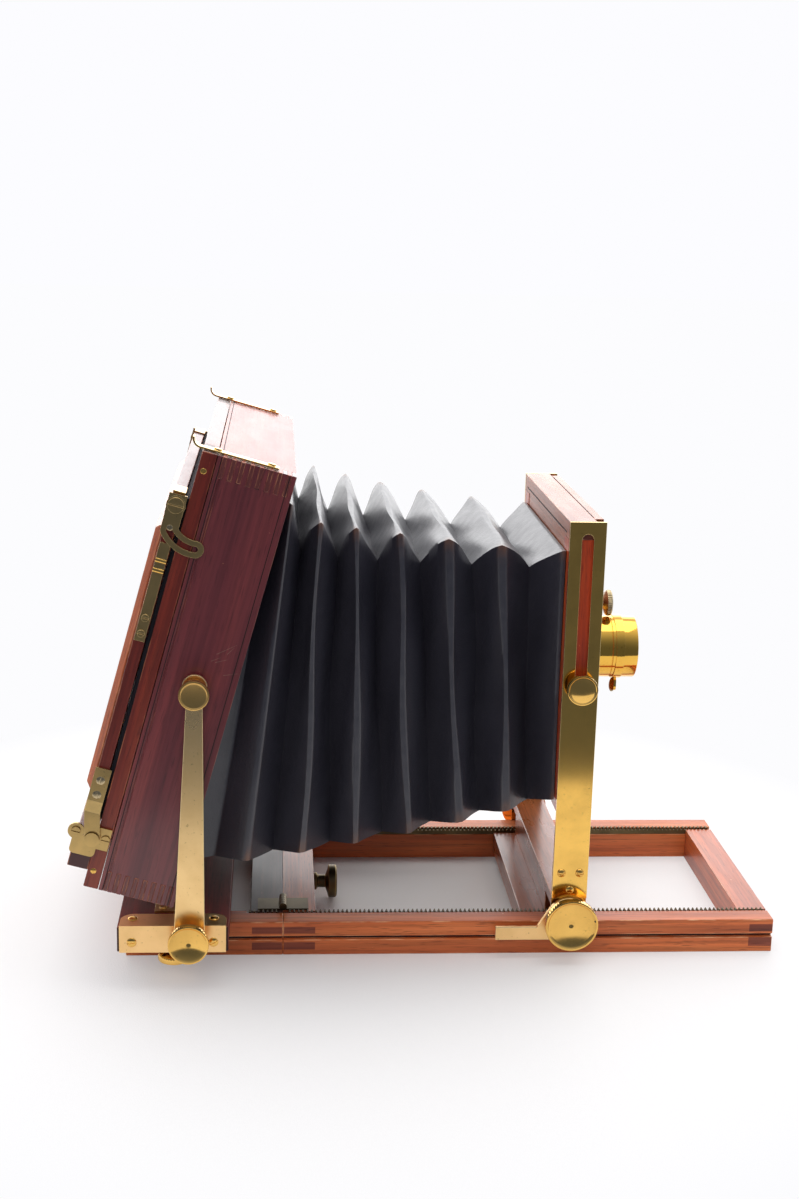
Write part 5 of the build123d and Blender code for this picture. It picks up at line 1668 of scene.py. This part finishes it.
@dataclass
class RisingFront:
    """The wooden front that slides between the uprights, with its panel, knobs, screw and lens."""

    workshop: Workshop
    stile_round_mm: float = 0.4
    crosspiece_round_mm: float = 0.45
    glass_round_mm: float = 0.05
    lever_round_mm: float = 0.15
    middle_x_mm: float = 182.75
    knob: ClampKnob = ClampKnob(
        shank_mm=10.75, boss_mm=2.0, radius_mm=7.1, head_mm=4.6, hollow=-0.2, segments=176
    )
    knob_z_mm: float = 132.4
    knob_seat_mm: float = 69.55
    panel_face_mm: float = 191.0
    lens_z_mm: float = 133.3
    end_board_mm: Tuple[Span, Span, Span] = ((174.75, 177.2), (-56.0, 56.0), (192.5, 200.1))
    # Thin dark slabs that are painted shadow: one in the gap between the top crosspiece's rear face and the
    # board below it, one along the crosspiece's front lip.
    shadow_lines_mm: Tuple[Tuple[Span, Span, Span], ...] = (
        ((174.4, 174.6), (-60.5, 60.5), (202.0, 202.7)),
        ((186.75, 187.2), (-56.5, 56.5), (208.3, 208.56)),
    )
    screw_rise_mm: float = 22.0
    screw_milling_mm: float = 0.3
    screw_segments: int = 176
    screw_mm: Tuple[Span, ...] = (
        (0.0, -4.0),
        (2.3, -4.0),
        (2.3, 0.25),
        (3.0, 0.3),
        (2.4, 13.6),
        (3.4, 14.2),
        (5.4, 14.9),
        (6.2, 15.6),
        (6.4, 16.2),
        (6.4, 17.2),
        (6.2, 17.7),
        (5.2, 18.2),
        (3.4, 18.6),
        (1.6, 18.7),
        (0.0, 18.7),
    )
    leaf_ahead_mm: float = 21.0
    leaf_drop_mm: float = 19.7
    leaf_half_mm: Span = (2.1, 3.7)
    leaf_faces: Tuple[float, float, float] = (0.5, -0.85, 0.17)
    leaf_hangs: Tuple[float, float, float] = (0.22, 0.05, 0.97)
    leaf_segments: int = 48
    leaf_disc: Tuple[Span, ...] = ((0.0, -0.4), (0.92, -0.35), (1.0, 0.0), (0.92, 0.35), (0.0, 0.45))
    barrel_mm: Tuple[Span, ...] = (
        (12.9, -11.0),
        (12.9, -0.01),
        (18.6, 0.0),
        (19.0, 0.4),
        (19.0, 2.2),
        (18.7, 2.5),
        (15.4, 2.7),
        (15.2, 3.0),
        (15.2, 17.2),
        (15.05, 17.4),
        (15.05, 17.6),
        (15.2, 17.8),
        (15.2, 29.6),
        (15.1, 29.9),
        (14.8, 30.05),
        (14.4, 30.1),
        (14.1, 30.0),
        (13.9, 29.6),
        (12.4, 25.5),
        (11.4, 24.0),
        (11.4, -11.0),
        (12.9, -11.0),
    )
    barrel_segments: int = 128
    barrel_degrees: float = 30.0
    bore_black_mm: Span = (12.6, -10.9)
    mouth_black_mm: Span = (13.6, 24.0)

    def build(self) -> None:
        """Dress the front's woods, and turn its knobs, its lens and its small fittings."""
        self.workshop.soften("front_stiles", FRONT_RED, "mahogany", self.stile_round_mm)
        self.workshop.soften("front_crosspieces", FRONT_RED_ACROSS, "mahogany", self.crosspiece_round_mm)
        self.workshop.soften("lens_panel", FRONT_RED_ACROSS, "mahogany", self.stile_round_mm)
        self.workshop.soften("lens_glasses", LENS_GLASS, "lens_glass", self.glass_round_mm)
        self.workshop.soften("iris_lever", LENS_BRASS, "brass", self.lever_round_mm)
        for name, sign in SIDES:
            seat = (self.middle_x_mm, sign * self.knob_seat_mm, self.knob_z_mm)
            shape = self.knob.turned(seat, (0, sign, 0))
            clamp = f"rise_clamp_{name}"
            self.workshop.add_piece(
                f"{clamp}_turned", shape, TURNED_BRASS, "brass", clamp, [f"rise_knob_{name}"]
            )
        self.barrel()
        self.woodwork()
        self.panel_screw()
        self.iris_leaf()

    def barrel(self) -> None:
        """Turn the lens barrel: flange, polished body with a turned line, rolled lip and black bore."""
        seat = (self.panel_face_mm, 0, self.lens_z_mm)
        shape = turning(np.array(self.barrel_mm), seat, (1, 0, 0), self.barrel_segments)
        barrel = mesh_object("lens_barrel_turned", shape)
        smooth(barrel, self.barrel_degrees)
        middles = np.empty(len(barrel.data.polygons) * 3)
        barrel.data.polygons.foreach_get("center", middles)
        middles = middles.reshape(-1, 3) / MM
        from_axis = np.hypot(middles[:, 1], middles[:, 2] - self.lens_z_mm)
        ahead = middles[:, 0] - self.panel_face_mm
        black = np.zeros(len(middles), bool)
        for radius, start in (self.bore_black_mm, self.mouth_black_mm):
            black |= (from_axis < radius) & (ahead > start)
        barrel.data.polygons.foreach_set("material_index", black.astype(np.int32))
        self.workshop.dress(barrel, [LENS_BRASS, LENS_BLACK], "brass")
        self.workshop.seat(barrel, "rising_front", ["lens_barrel"])

    def woodwork(self) -> None:
        """Close the front above the bellows with a board, and paint two thin dark shadow lines at the top
        crosspiece.
        """
        body = "rising_front"
        board = slab(*self.end_board_mm)
        self.workshop.add_piece("bellows_end_board", board, FRONT_RED_ACROSS, "mahogany", body)
        # These dark lines are painted shadow at the top crosspiece.
        lines = joined([slab(*spans) for spans in self.shadow_lines_mm])
        self.workshop.add_piece("front_painted_shadow_lines", lines, SCRIBED_AND_SHADE, "mahogany", body)

    def panel_screw(self) -> None:
        """Turn the knurled screw that holds the lens panel."""
        seat = (self.panel_face_mm, 0.0, self.lens_z_mm + self.screw_rise_mm)
        outline = np.array(self.screw_mm)
        screw = turning(outline, seat, (1, 0, 0), self.screw_segments, self.screw_milling_mm)
        self.workshop.add_piece(
            "panel_screw_knurled", screw, SCREW_BRASS, "brass", "panel_catch", ["panel_screw"]
        )

    def iris_leaf(self) -> None:
        """Hang the iris lever's leaf: a thin disc, drawn out to an oval that faces down and to the side."""
        disc, faces = turning(np.array(self.leaf_disc), (0, 0, 0), (0, 0, 1), self.leaf_segments)
        normal = np.array(self.leaf_faces) / np.linalg.norm(self.leaf_faces)
        rise = np.array(self.leaf_hangs)
        rise = rise - normal * (rise @ normal)
        rise = rise / np.linalg.norm(rise)
        side = np.cross(rise, normal)
        ahead = self.panel_face_mm + self.leaf_ahead_mm
        middle = np.array([ahead, 0.0, self.lens_z_mm - self.leaf_drop_mm])
        wide, tall = self.leaf_half_mm
        oval = wide * disc[:, :1] * side + tall * disc[:, 1:2] * rise
        leaf = middle + oval + disc[:, 2:] * normal
        self.workshop.add_piece("iris_leaf", (leaf, faces), SCREW_BRASS, "brass", "iris")


@dataclass
class Bellows:
    """The leather bellows: ridge and valley rings that fan from the leaning back to the upright front.

    Ring number q runs from 0 at the back's mouth to the last ridge at the front; even numbers are ridges
    and odd ones valleys. It is cut into four lengths, each listed with the bodies behind and ahead of it.
    """

    workshop: Workshop
    rings: int = 12
    side_depth_mm: float = 15.0
    roof_depth_mm: Span = (21.0, 11.0)
    floor_depth_mm: float = -2.5
    floor_bow_mm: float = 12.0
    front_x_mm: float = 174.2
    front_top_mm: float = 194.0
    front_bottom_mm: float = 76.0
    front_half_mm: float = 63.0
    mouth_top_mm: Span = (-0.7, 187.7)
    mouth_bottom_mm: Span = (31.8, 56.0)
    rear_half_mm: float = 88.0
    box_half_mm: float = 90.3
    box_floor_mm: float = 10.9
    box_roof_mm: float = 191.5
    box_x_mm: float = -30.0
    mouth_step_mm: float = 6.0
    fan: float = 0.55
    fall_power: float = 1.1
    rise_power: float = 1.8
    arch: float = 1.4
    arch_reach: float = 0.5
    corner_reach: float = 0.10
    ridge_share: float = 0.10
    crease: float = 0.14
    coarse_waver_mm: float = 0.6
    fine_waver_mm: float = 0.4
    roof_sag_mm: float = 0.8
    floor_sag_mm: float = 2.8
    side_sag_mm: float = 1.3
    soft_from: float = 1.5
    ridge_rub: float = 0.05
    valley_rub: float = 0.04
    valley_grey: float = 0.45
    corner_rub: float = 0.08
    skirt_steps: Tuple[float, ...] = (0.0, 0.45, 0.6, 0.72, 0.74, 0.76, 0.88, 0.96)
    skirt_in_mm: Tuple[float, ...] = (0.0, 0.0, 3.5, 6.8, 7.2, 6.8, 3.2, 0.8)
    per_ring: int = 20
    per_side: int = 22
    sharp_degrees: float = 50.0

    def spine(self, number: np.ndarray) -> Tuple[np.ndarray, np.ndarray, np.ndarray]:
        """Top point, bottom point and half width of each ring.

        The top runs forward as fan * s + (1 - fan) * s^2, drops by a step from the mouth to the next ridge
        and falls on as a power of 1 - s. The bottom runs forward as s with a bow of s * (1 - s) and rises
        as a power of s. The width falls as (1 - s)^2. Here s is the ring's share of the whole.

        Args:
            number: Ring numbers, whole or between.

        Returns:
            X and Z of the top points, X and Z of the bottom points, and the half widths.
        """
        share = np.clip(number / self.rings, 0, 1)
        mouth = back_point(np.array([self.mouth_top_mm[0], 0.0, self.mouth_top_mm[1]]))
        run = self.fan * share + (1 - self.fan) * share**2
        top_x = mouth[0] + (self.front_x_mm - mouth[0]) * run
        fall = mouth[2] - self.front_top_mm - self.mouth_step_mm
        step = self.mouth_step_mm * np.clip(1 - number / 2, 0, 1)
        top_z = self.front_top_mm + fall * (1 - share) ** self.fall_power + step
        bow = self.floor_bow_mm * share * (1 - share)
        low_x = self.mouth_bottom_mm[0] + (self.front_x_mm - self.mouth_bottom_mm[0]) * share + bow
        climb = self.front_bottom_mm - self.mouth_bottom_mm[1]
        low_z = self.mouth_bottom_mm[1] + climb * share**self.rise_power
        half = self.front_half_mm + (self.rear_half_mm - self.front_half_mm) * (1 - share) ** 2
        return np.stack([top_x, top_z], -1), np.stack([low_x, low_z], -1), half

    def surface(self, number: np.ndarray) -> Tuple[np.ndarray, np.ndarray, np.ndarray]:
        """Points of the rings, with their fold and corner values.

        A ring is a rectangle drawn in by depth * t, where t goes from 0 along a narrow flat ridge to 1 at a
        valley. The depth is the roof's at the top, less than nothing at the floor, where the leather
        hangs below its ridges, and the sides' between them. At the roof's corners the folds swell to
        round arches. Between its corners the leather sags, and it wavers a little.

        Args:
            number: Ring numbers, whole or between.

        Returns:
            Points by ring and place, the ridge value and the corner value of each.
        """
        top, low, half = self.spine(number)
        across, up = rectangle_loop(self.per_side)
        share = np.clip(number / self.rings, 0, 1)
        straight = 1 - np.abs(1 - np.mod(np.clip(number, 0, self.rings), 2))
        ramp = np.clip((straight - self.ridge_share) / (1 - self.ridge_share), 0, 1)
        fold = (1 - self.crease) * ramp + self.crease * (0.5 - 0.5 * np.cos(np.pi * ramp))
        rise = top - low
        rise = rise / np.linalg.norm(rise, axis=1)[:, None]
        roof = self.roof_depth_mm[0] + (self.roof_depth_mm[1] - self.roof_depth_mm[0]) * share
        top = top - rise * (roof * fold)[:, None]
        low = low + rise * (self.floor_depth_mm * fold)[:, None]
        middle = (top + low) / 2
        tall = (np.linalg.norm(top - low, axis=1) / 2)[:, None] * up[None]
        hollow = np.where(np.abs(across) >= np.abs(up), np.cos(np.pi * up / 2), 0.0)
        drawn_in = np.sign(across) * self.side_sag_mm * np.clip(hollow, 0, 1)
        y = (half - self.side_depth_mm * fold)[:, None] * across[None] - drawn_in[None]
        flat = np.where(np.abs(up) > np.abs(across), np.cos(np.pi * across / 2), 0.0)
        sag = -np.where(up < 0, self.floor_sag_mm, self.roof_sag_mm) * np.clip(flat, 0, 1)
        soft = np.clip(number / self.soft_from, 0, 1) * np.clip(self.rings - number, 0, 1)
        waver = self.waver(number[:, None], across[None], up[None]) * soft[:, None]
        hump = np.clip(1 - (2 - np.abs(across) - up) / self.arch_reach, 0, 1)
        swell = (roof * (fold - straight**self.arch))[:, None] * hump[None] * soft[:, None]
        x = middle[:, :1] + (tall + swell) * rise[:, :1] + waver * rise[:, 1:]
        z = middle[:, 1:] + (tall + swell) * rise[:, 1:] - waver * rise[:, :1]
        z = z + sag[None] * soft[:, None]
        ridge_grey = np.clip(1 - fold / self.ridge_rub, 0, 1)
        valley_grey = self.valley_grey * np.clip(1 - (1 - fold) / self.valley_rub, 0, 1)
        ridge = (ridge_grey + valley_grey)[:, None] * np.ones_like(x)
        corner = np.clip(1 - (2 - np.abs(across) - np.abs(up)) / self.corner_reach, 0, 1)
        worn = np.clip(1 - fold / self.corner_rub, 0, 1)[:, None] * corner[None]
        return np.stack([x, y, z], -1), ridge, worn

    def waver(self, number: np.ndarray, across: np.ndarray, up: np.ndarray) -> np.ndarray:
        """A coarse and a fine wave over the leather: sines of the ring's number and the place round it.

        Args:
            number: Ring numbers.
            across: Places across, from -1 to 1.
            up: Places up, from -1 to 1.

        Returns:
            How far the leather lies forward, in millimetres.
        """
        coarse = np.sin(2.3 * number + 3.1 * up + 1.7 * across)
        fine = np.sin(5.9 * number - 4.0 * up + 6.0 * across)
        return self.coarse_waver_mm * coarse + self.fine_waver_mm * fine

    def socket(self) -> np.ndarray:
        """The rectangular ring that is glued inside the box.

        Returns:
            Its points in the camera's frame.
        """
        across, up = rectangle_loop(self.per_side)
        middle = (self.box_floor_mm + self.box_roof_mm) / 2
        tall = (self.box_roof_mm - self.box_floor_mm) / 2
        depth = np.full_like(across, self.box_x_mm)
        return back_point(np.stack([depth, self.box_half_mm * across, middle + tall * up], -1))

    def skirt(self, mouth: np.ndarray) -> np.ndarray:
        """Rings that lead from the socket to the mouth, with one fold inwards on the way.

        Args:
            mouth: The points of the mouth's ring.

        Returns:
            Points by ring and place.
        """
        step = np.array(self.skirt_steps)[:, None, None]
        skirt = self.socket()[None] * (1 - step) + mouth * step
        across, _ = rectangle_loop(self.per_side)
        skirt[..., 1] = skirt[..., 1] - np.array(self.skirt_in_mm)[:, None] * across[None]
        return skirt

    def build(self) -> None:
        """Make the four lengths, from the back to the front, each across its own joint."""
        cuts = (
            ("bellows_rear", 0, 4, "back", "swing_base"),
            ("bellows_swing", 4, 5, "swing_base", "bed"),
            ("bellows_middle", 5, 10, "bed", "standard"),
            ("bellows_front", 10, 12, "standard", "rising_front"),
        )
        for name, first, last, behind, ahead in cuts:
            number = np.linspace(first, last, (last - first) * self.per_ring + 1)
            points, ridge, corner = self.surface(number)
            if first == 0:
                skirt = self.skirt(points[:1])
                plain = np.zeros(skirt.shape[:2])
                points = np.concatenate([skirt, points])
                ridge = np.concatenate([plain, ridge])
                corner = np.concatenate([plain, corner])
            faces = grid_faces(*points.shape[:2])[:, ::-1]
            length = mesh_object(name, (points.reshape(-1, 3), faces), closed=False)
            for label, values in (("ridge", ridge), ("corner", corner)):
                layer = length.data.attributes.new(label, "FLOAT", "POINT")
                layer.data.foreach_set("value", values.reshape(-1).astype(np.float32))
            smooth(length, self.sharp_degrees)
            self.workshop.dress(length, [LEATHER], "bellows_leather")
            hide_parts("bellows")
            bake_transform(length)
            self.workshop.pieces.append(name)
            LOG.info("piece %s bends from %s to %s", name, behind, ahead)


@dataclass
class Studio:
    """White table, soft light from above and behind, and the camera of the photograph."""

    camera_mm: Tuple[float, float, float] = (43.6, -789.0, 343.555)
    right: Tuple[float, float, float] = (0.99715242, -0.07076412, 0.02606721)
    above: Tuple[float, float, float] = (-0.00897004, 0.2319108, 0.9726957)
    view: Tuple[float, float, float] = (0.07487723, 0.97015969, -0.23061565)
    lens_mm: float = 49.99
    film_height_mm: float = 36.0
    clip_start_m: float = 0.01
    subject_m: Tuple[float, float, float] = (0.12, 0.0, 0.1)
    floor_half_m: float = 6.0
    table_edge_m: float = -0.315
    table_drop_mm: float = 0.05
    table_white: str = "#F0EDEA"
    table_roughness: float = 0.6
    table_grain_mm: float = 0.8
    table_grain_depth_mm: float = 0.3
    backdrop_white: str = "#FCFCFE"
    # Where the table glows in place of being lit: from 0.06 m out it is painted light that washes out part
    # of the subject's shadow.
    painted_glow_middle_m: Tuple[float, float, float] = (0.09, 0.02, 0.0)
    painted_glow_m: Span = (0.06, 0.32)
    bright_side: Tuple[float, float, float] = (0.1, 0.8, 0.55)
    level_turns: Span = (-0.75, 0.6)
    dim_level: float = 0.24
    dim_blue: str = "#9CB0D8"
    bright_white: str = "#FCFCFF"

    def build(self) -> None:
        """Set the table, the lamps, the world and the camera."""
        self.table()
        self.world()
        self.lamp("lit_backdrop", place=(0.3, 1.7, 0.62), size=(3.4, 1.2), power=23.0)
        self.lamp("softbox_above", place=(0.15, 0.25, 1.6), size=(1.7, 1.5), power=14.6)
        fill = self.lamp(
            "fill_from_camera", place=(-0.35, -1.2, 0.78), size=(1.0, 0.5), power=3.9, colour="#FFF4E8"
        )
        fill.visible_glossy = False
        self.place_camera()
        bpy.context.scene.view_settings.view_transform = "Standard"

    def table(self) -> None:
        """A white table top that fades to the white of the backdrop with distance; the glow begins close to
        the subject and is painted light that lifts part of its shadow.
        """
        half = self.floor_half_m / MM
        near = self.table_edge_m / MM
        low = -self.table_drop_mm
        points = np.array([(-half, near, low), (half, near, low), (half, half, low), (-half, half, low)])
        floor = mesh_object("table_top", (points, np.array([[0, 1, 2, 3]])), closed=False)
        material, tree, shader = blank_material("white_table")
        place = add_node(tree, "ShaderNodeTexCoord")
        mapping = add_node(
            tree,
            "ShaderNodeMapping",
            {"vector_type": "TEXTURE", "Location": self.painted_glow_middle_m},
            {"Vector": place.outputs["Object"]},
        )
        far = add_node(tree, "ShaderNodeVectorMath", {"operation": "LENGTH"}, {0: mapping.outputs[0]})
        # Painted light: camera, glossy and transmission rays see a glow in place of the lit table. The glow
        # rises with distance and lightens the subject's shadow.
        fade = add_node(
            tree,
            "ShaderNodeMapRange",
            {"From Min": self.painted_glow_m[0], "From Max": self.painted_glow_m[1]},
            {"Value": far.outputs["Value"]},
        )
        path = add_node(tree, "ShaderNodeLightPath")
        eye = add_node(
            tree,
            "ShaderNodeMath",
            {"operation": "MAXIMUM"},
            {0: path.outputs["Is Camera Ray"], 1: path.outputs["Is Transmission Ray"]},
        )
        mirror = add_node(
            tree,
            "ShaderNodeMath",
            {"operation": "MAXIMUM"},
            {0: eye.outputs[0], 1: path.outputs["Is Glossy Ray"]},
        )
        seen = add_node(
            tree,
            "ShaderNodeMath",
            {"operation": "MULTIPLY"},
            {0: fade.outputs[0], 1: mirror.outputs[0]},
        )
        glow = add_node(tree, "ShaderNodeEmission", {"Color": linear(self.backdrop_white), "Strength": 1.0})
        weave = add_node(
            tree,
            "ShaderNodeTexNoise",
            {"Scale": 1 / (self.table_grain_mm * MM), "Detail": 2.0},
            {"Vector": place.outputs["Object"]},
        )
        bump = add_node(
            tree,
            "ShaderNodeBump",
            {"Strength": 0.4, "Distance": self.table_grain_depth_mm * MM},
            {"Height": weave.outputs["Fac"]},
        )
        shader.inputs["Base Color"].default_value = linear(self.table_white)
        shader.inputs["Roughness"].default_value = self.table_roughness
        tree.links.new(bump.outputs[0], shader.inputs["Normal"])
        mixed = add_node(
            tree, "ShaderNodeMixShader", {}, {0: seen.outputs[0], 1: shader.outputs[0], 2: glow.outputs[0]}
        )
        output = next(node for node in tree.nodes if node.type == "OUTPUT_MATERIAL")
        tree.links.new(mixed.outputs[0], output.inputs["Surface"])
        floor.data.materials.append(material)

    def world(self) -> None:
        """A white studio: bright above and behind the subject, dim and bluish towards the viewer."""
        world = bpy.data.worlds.new("white_studio")
        bpy.context.scene.world = world
        world.use_nodes = True
        tree = world.node_tree
        tree.nodes.clear()
        place = add_node(tree, "ShaderNodeTexCoord")
        toward = add_node(
            tree,
            "ShaderNodeVectorMath",
            {"operation": "DOT_PRODUCT", 1: self.bright_side},
            {0: place.outputs["Generated"]},
        )
        dim, bright = self.level_turns
        spread = {"From Min": dim, "From Max": bright, "To Min": self.dim_level, "To Max": 1.0}
        level = add_node(
            tree,
            "ShaderNodeMapRange",
            {"interpolation_type": "SMOOTHSTEP", **spread},
            {"Value": toward.outputs["Value"]},
        )
        path = add_node(tree, "ShaderNodeLightPath")
        seen = add_node(
            tree,
            "ShaderNodeMath",
            {"operation": "MAXIMUM"},
            {0: path.outputs["Is Camera Ray"], 1: path.outputs["Is Transmission Ray"]},
        )
        strength = add_node(
            tree, "ShaderNodeMix", {"data_type": "FLOAT", 3: 1.0}, {0: seen.outputs[0], 2: level.outputs[0]}
        )
        tint = add_node(
            tree,
            "ShaderNodeMix",
            {"data_type": "RGBA", 6: linear(self.dim_blue), 7: linear(self.bright_white)},
            {0: strength.outputs[0]},
        )
        glow = add_node(
            tree, "ShaderNodeBackground", {}, {"Color": tint.outputs[2], "Strength": strength.outputs[0]}
        )
        add_node(tree, "ShaderNodeOutputWorld", {}, {"Surface": glow.outputs[0]})

    def lamp(
        self, name: str, place: Sequence[float], size: Span, power: float, colour: str = "#FFFFFF"
    ) -> bpy.types.Object:
        """Hang one soft rectangular lamp that faces the camera's subject.

        Args:
            name: The lamp's name.
            place: Where it hangs, in metres.
            size: Its width and height in metres.
            power: Its power in watts.
            colour: Its sRGB hex colour.

        Returns:
            The lamp's object.
        """
        light = bpy.data.lights.new(name, "AREA")
        light.shape = "RECTANGLE"
        light.size, light.size_y = size
        light.energy = power
        light.color = linear(colour)[:3]
        holder = bpy.data.objects.new(name, light)
        bpy.context.scene.collection.objects.link(holder)
        aim = np.array(self.subject_m) - np.array(place)
        back = -aim / np.linalg.norm(aim)
        side = np.cross([0.0, 0.0, 1.0], back)
        side = side / np.linalg.norm(side)
        rise = np.cross(back, side)
        columns = np.stack([side, rise, back, np.array(place)], axis=1)
        holder.matrix_world = Matrix([list(row) for row in columns] + [[0, 0, 0, 1]])
        holder.visible_camera = False
        return holder

    def place_camera(self) -> None:
        """Stand the camera where the photograph was taken from, with its focal length."""
        data = bpy.data.cameras.new("photograph")
        data.sensor_fit = "VERTICAL"
        data.sensor_height = self.film_height_mm
        data.lens = self.lens_mm
        data.clip_start = self.clip_start_m
        holder = bpy.data.objects.new("photograph", data)
        bpy.context.scene.collection.objects.link(holder)
        back = tuple(-part for part in self.view)
        place = tuple(part * MM for part in self.camera_mm)
        rows = [[self.right[row], self.above[row], back[row], place[row]] for row in range(3)]
        holder.matrix_world = Matrix(rows + [[0, 0, 0, 1]])
        bpy.context.scene.camera = holder


def main() -> None:
    """Load the frame, dress each part of the camera and light it."""
    logging.basicConfig(level=logging.INFO, format="%(message)s")
    workshop = Workshop(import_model())
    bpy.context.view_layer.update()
    Bed(workshop).build()
    SwingBase(workshop).build()
    Struts(workshop).build()
    Back(workshop).build()
    GroundGlassBack(workshop).build()
    FrontStandard(workshop).build()
    RisingFront(workshop).build()
    Bellows(workshop).build()
    Studio().build()
    LOG.info("%d pieces dressed", len(workshop.pieces))


if __name__ == "__main__":
    main()
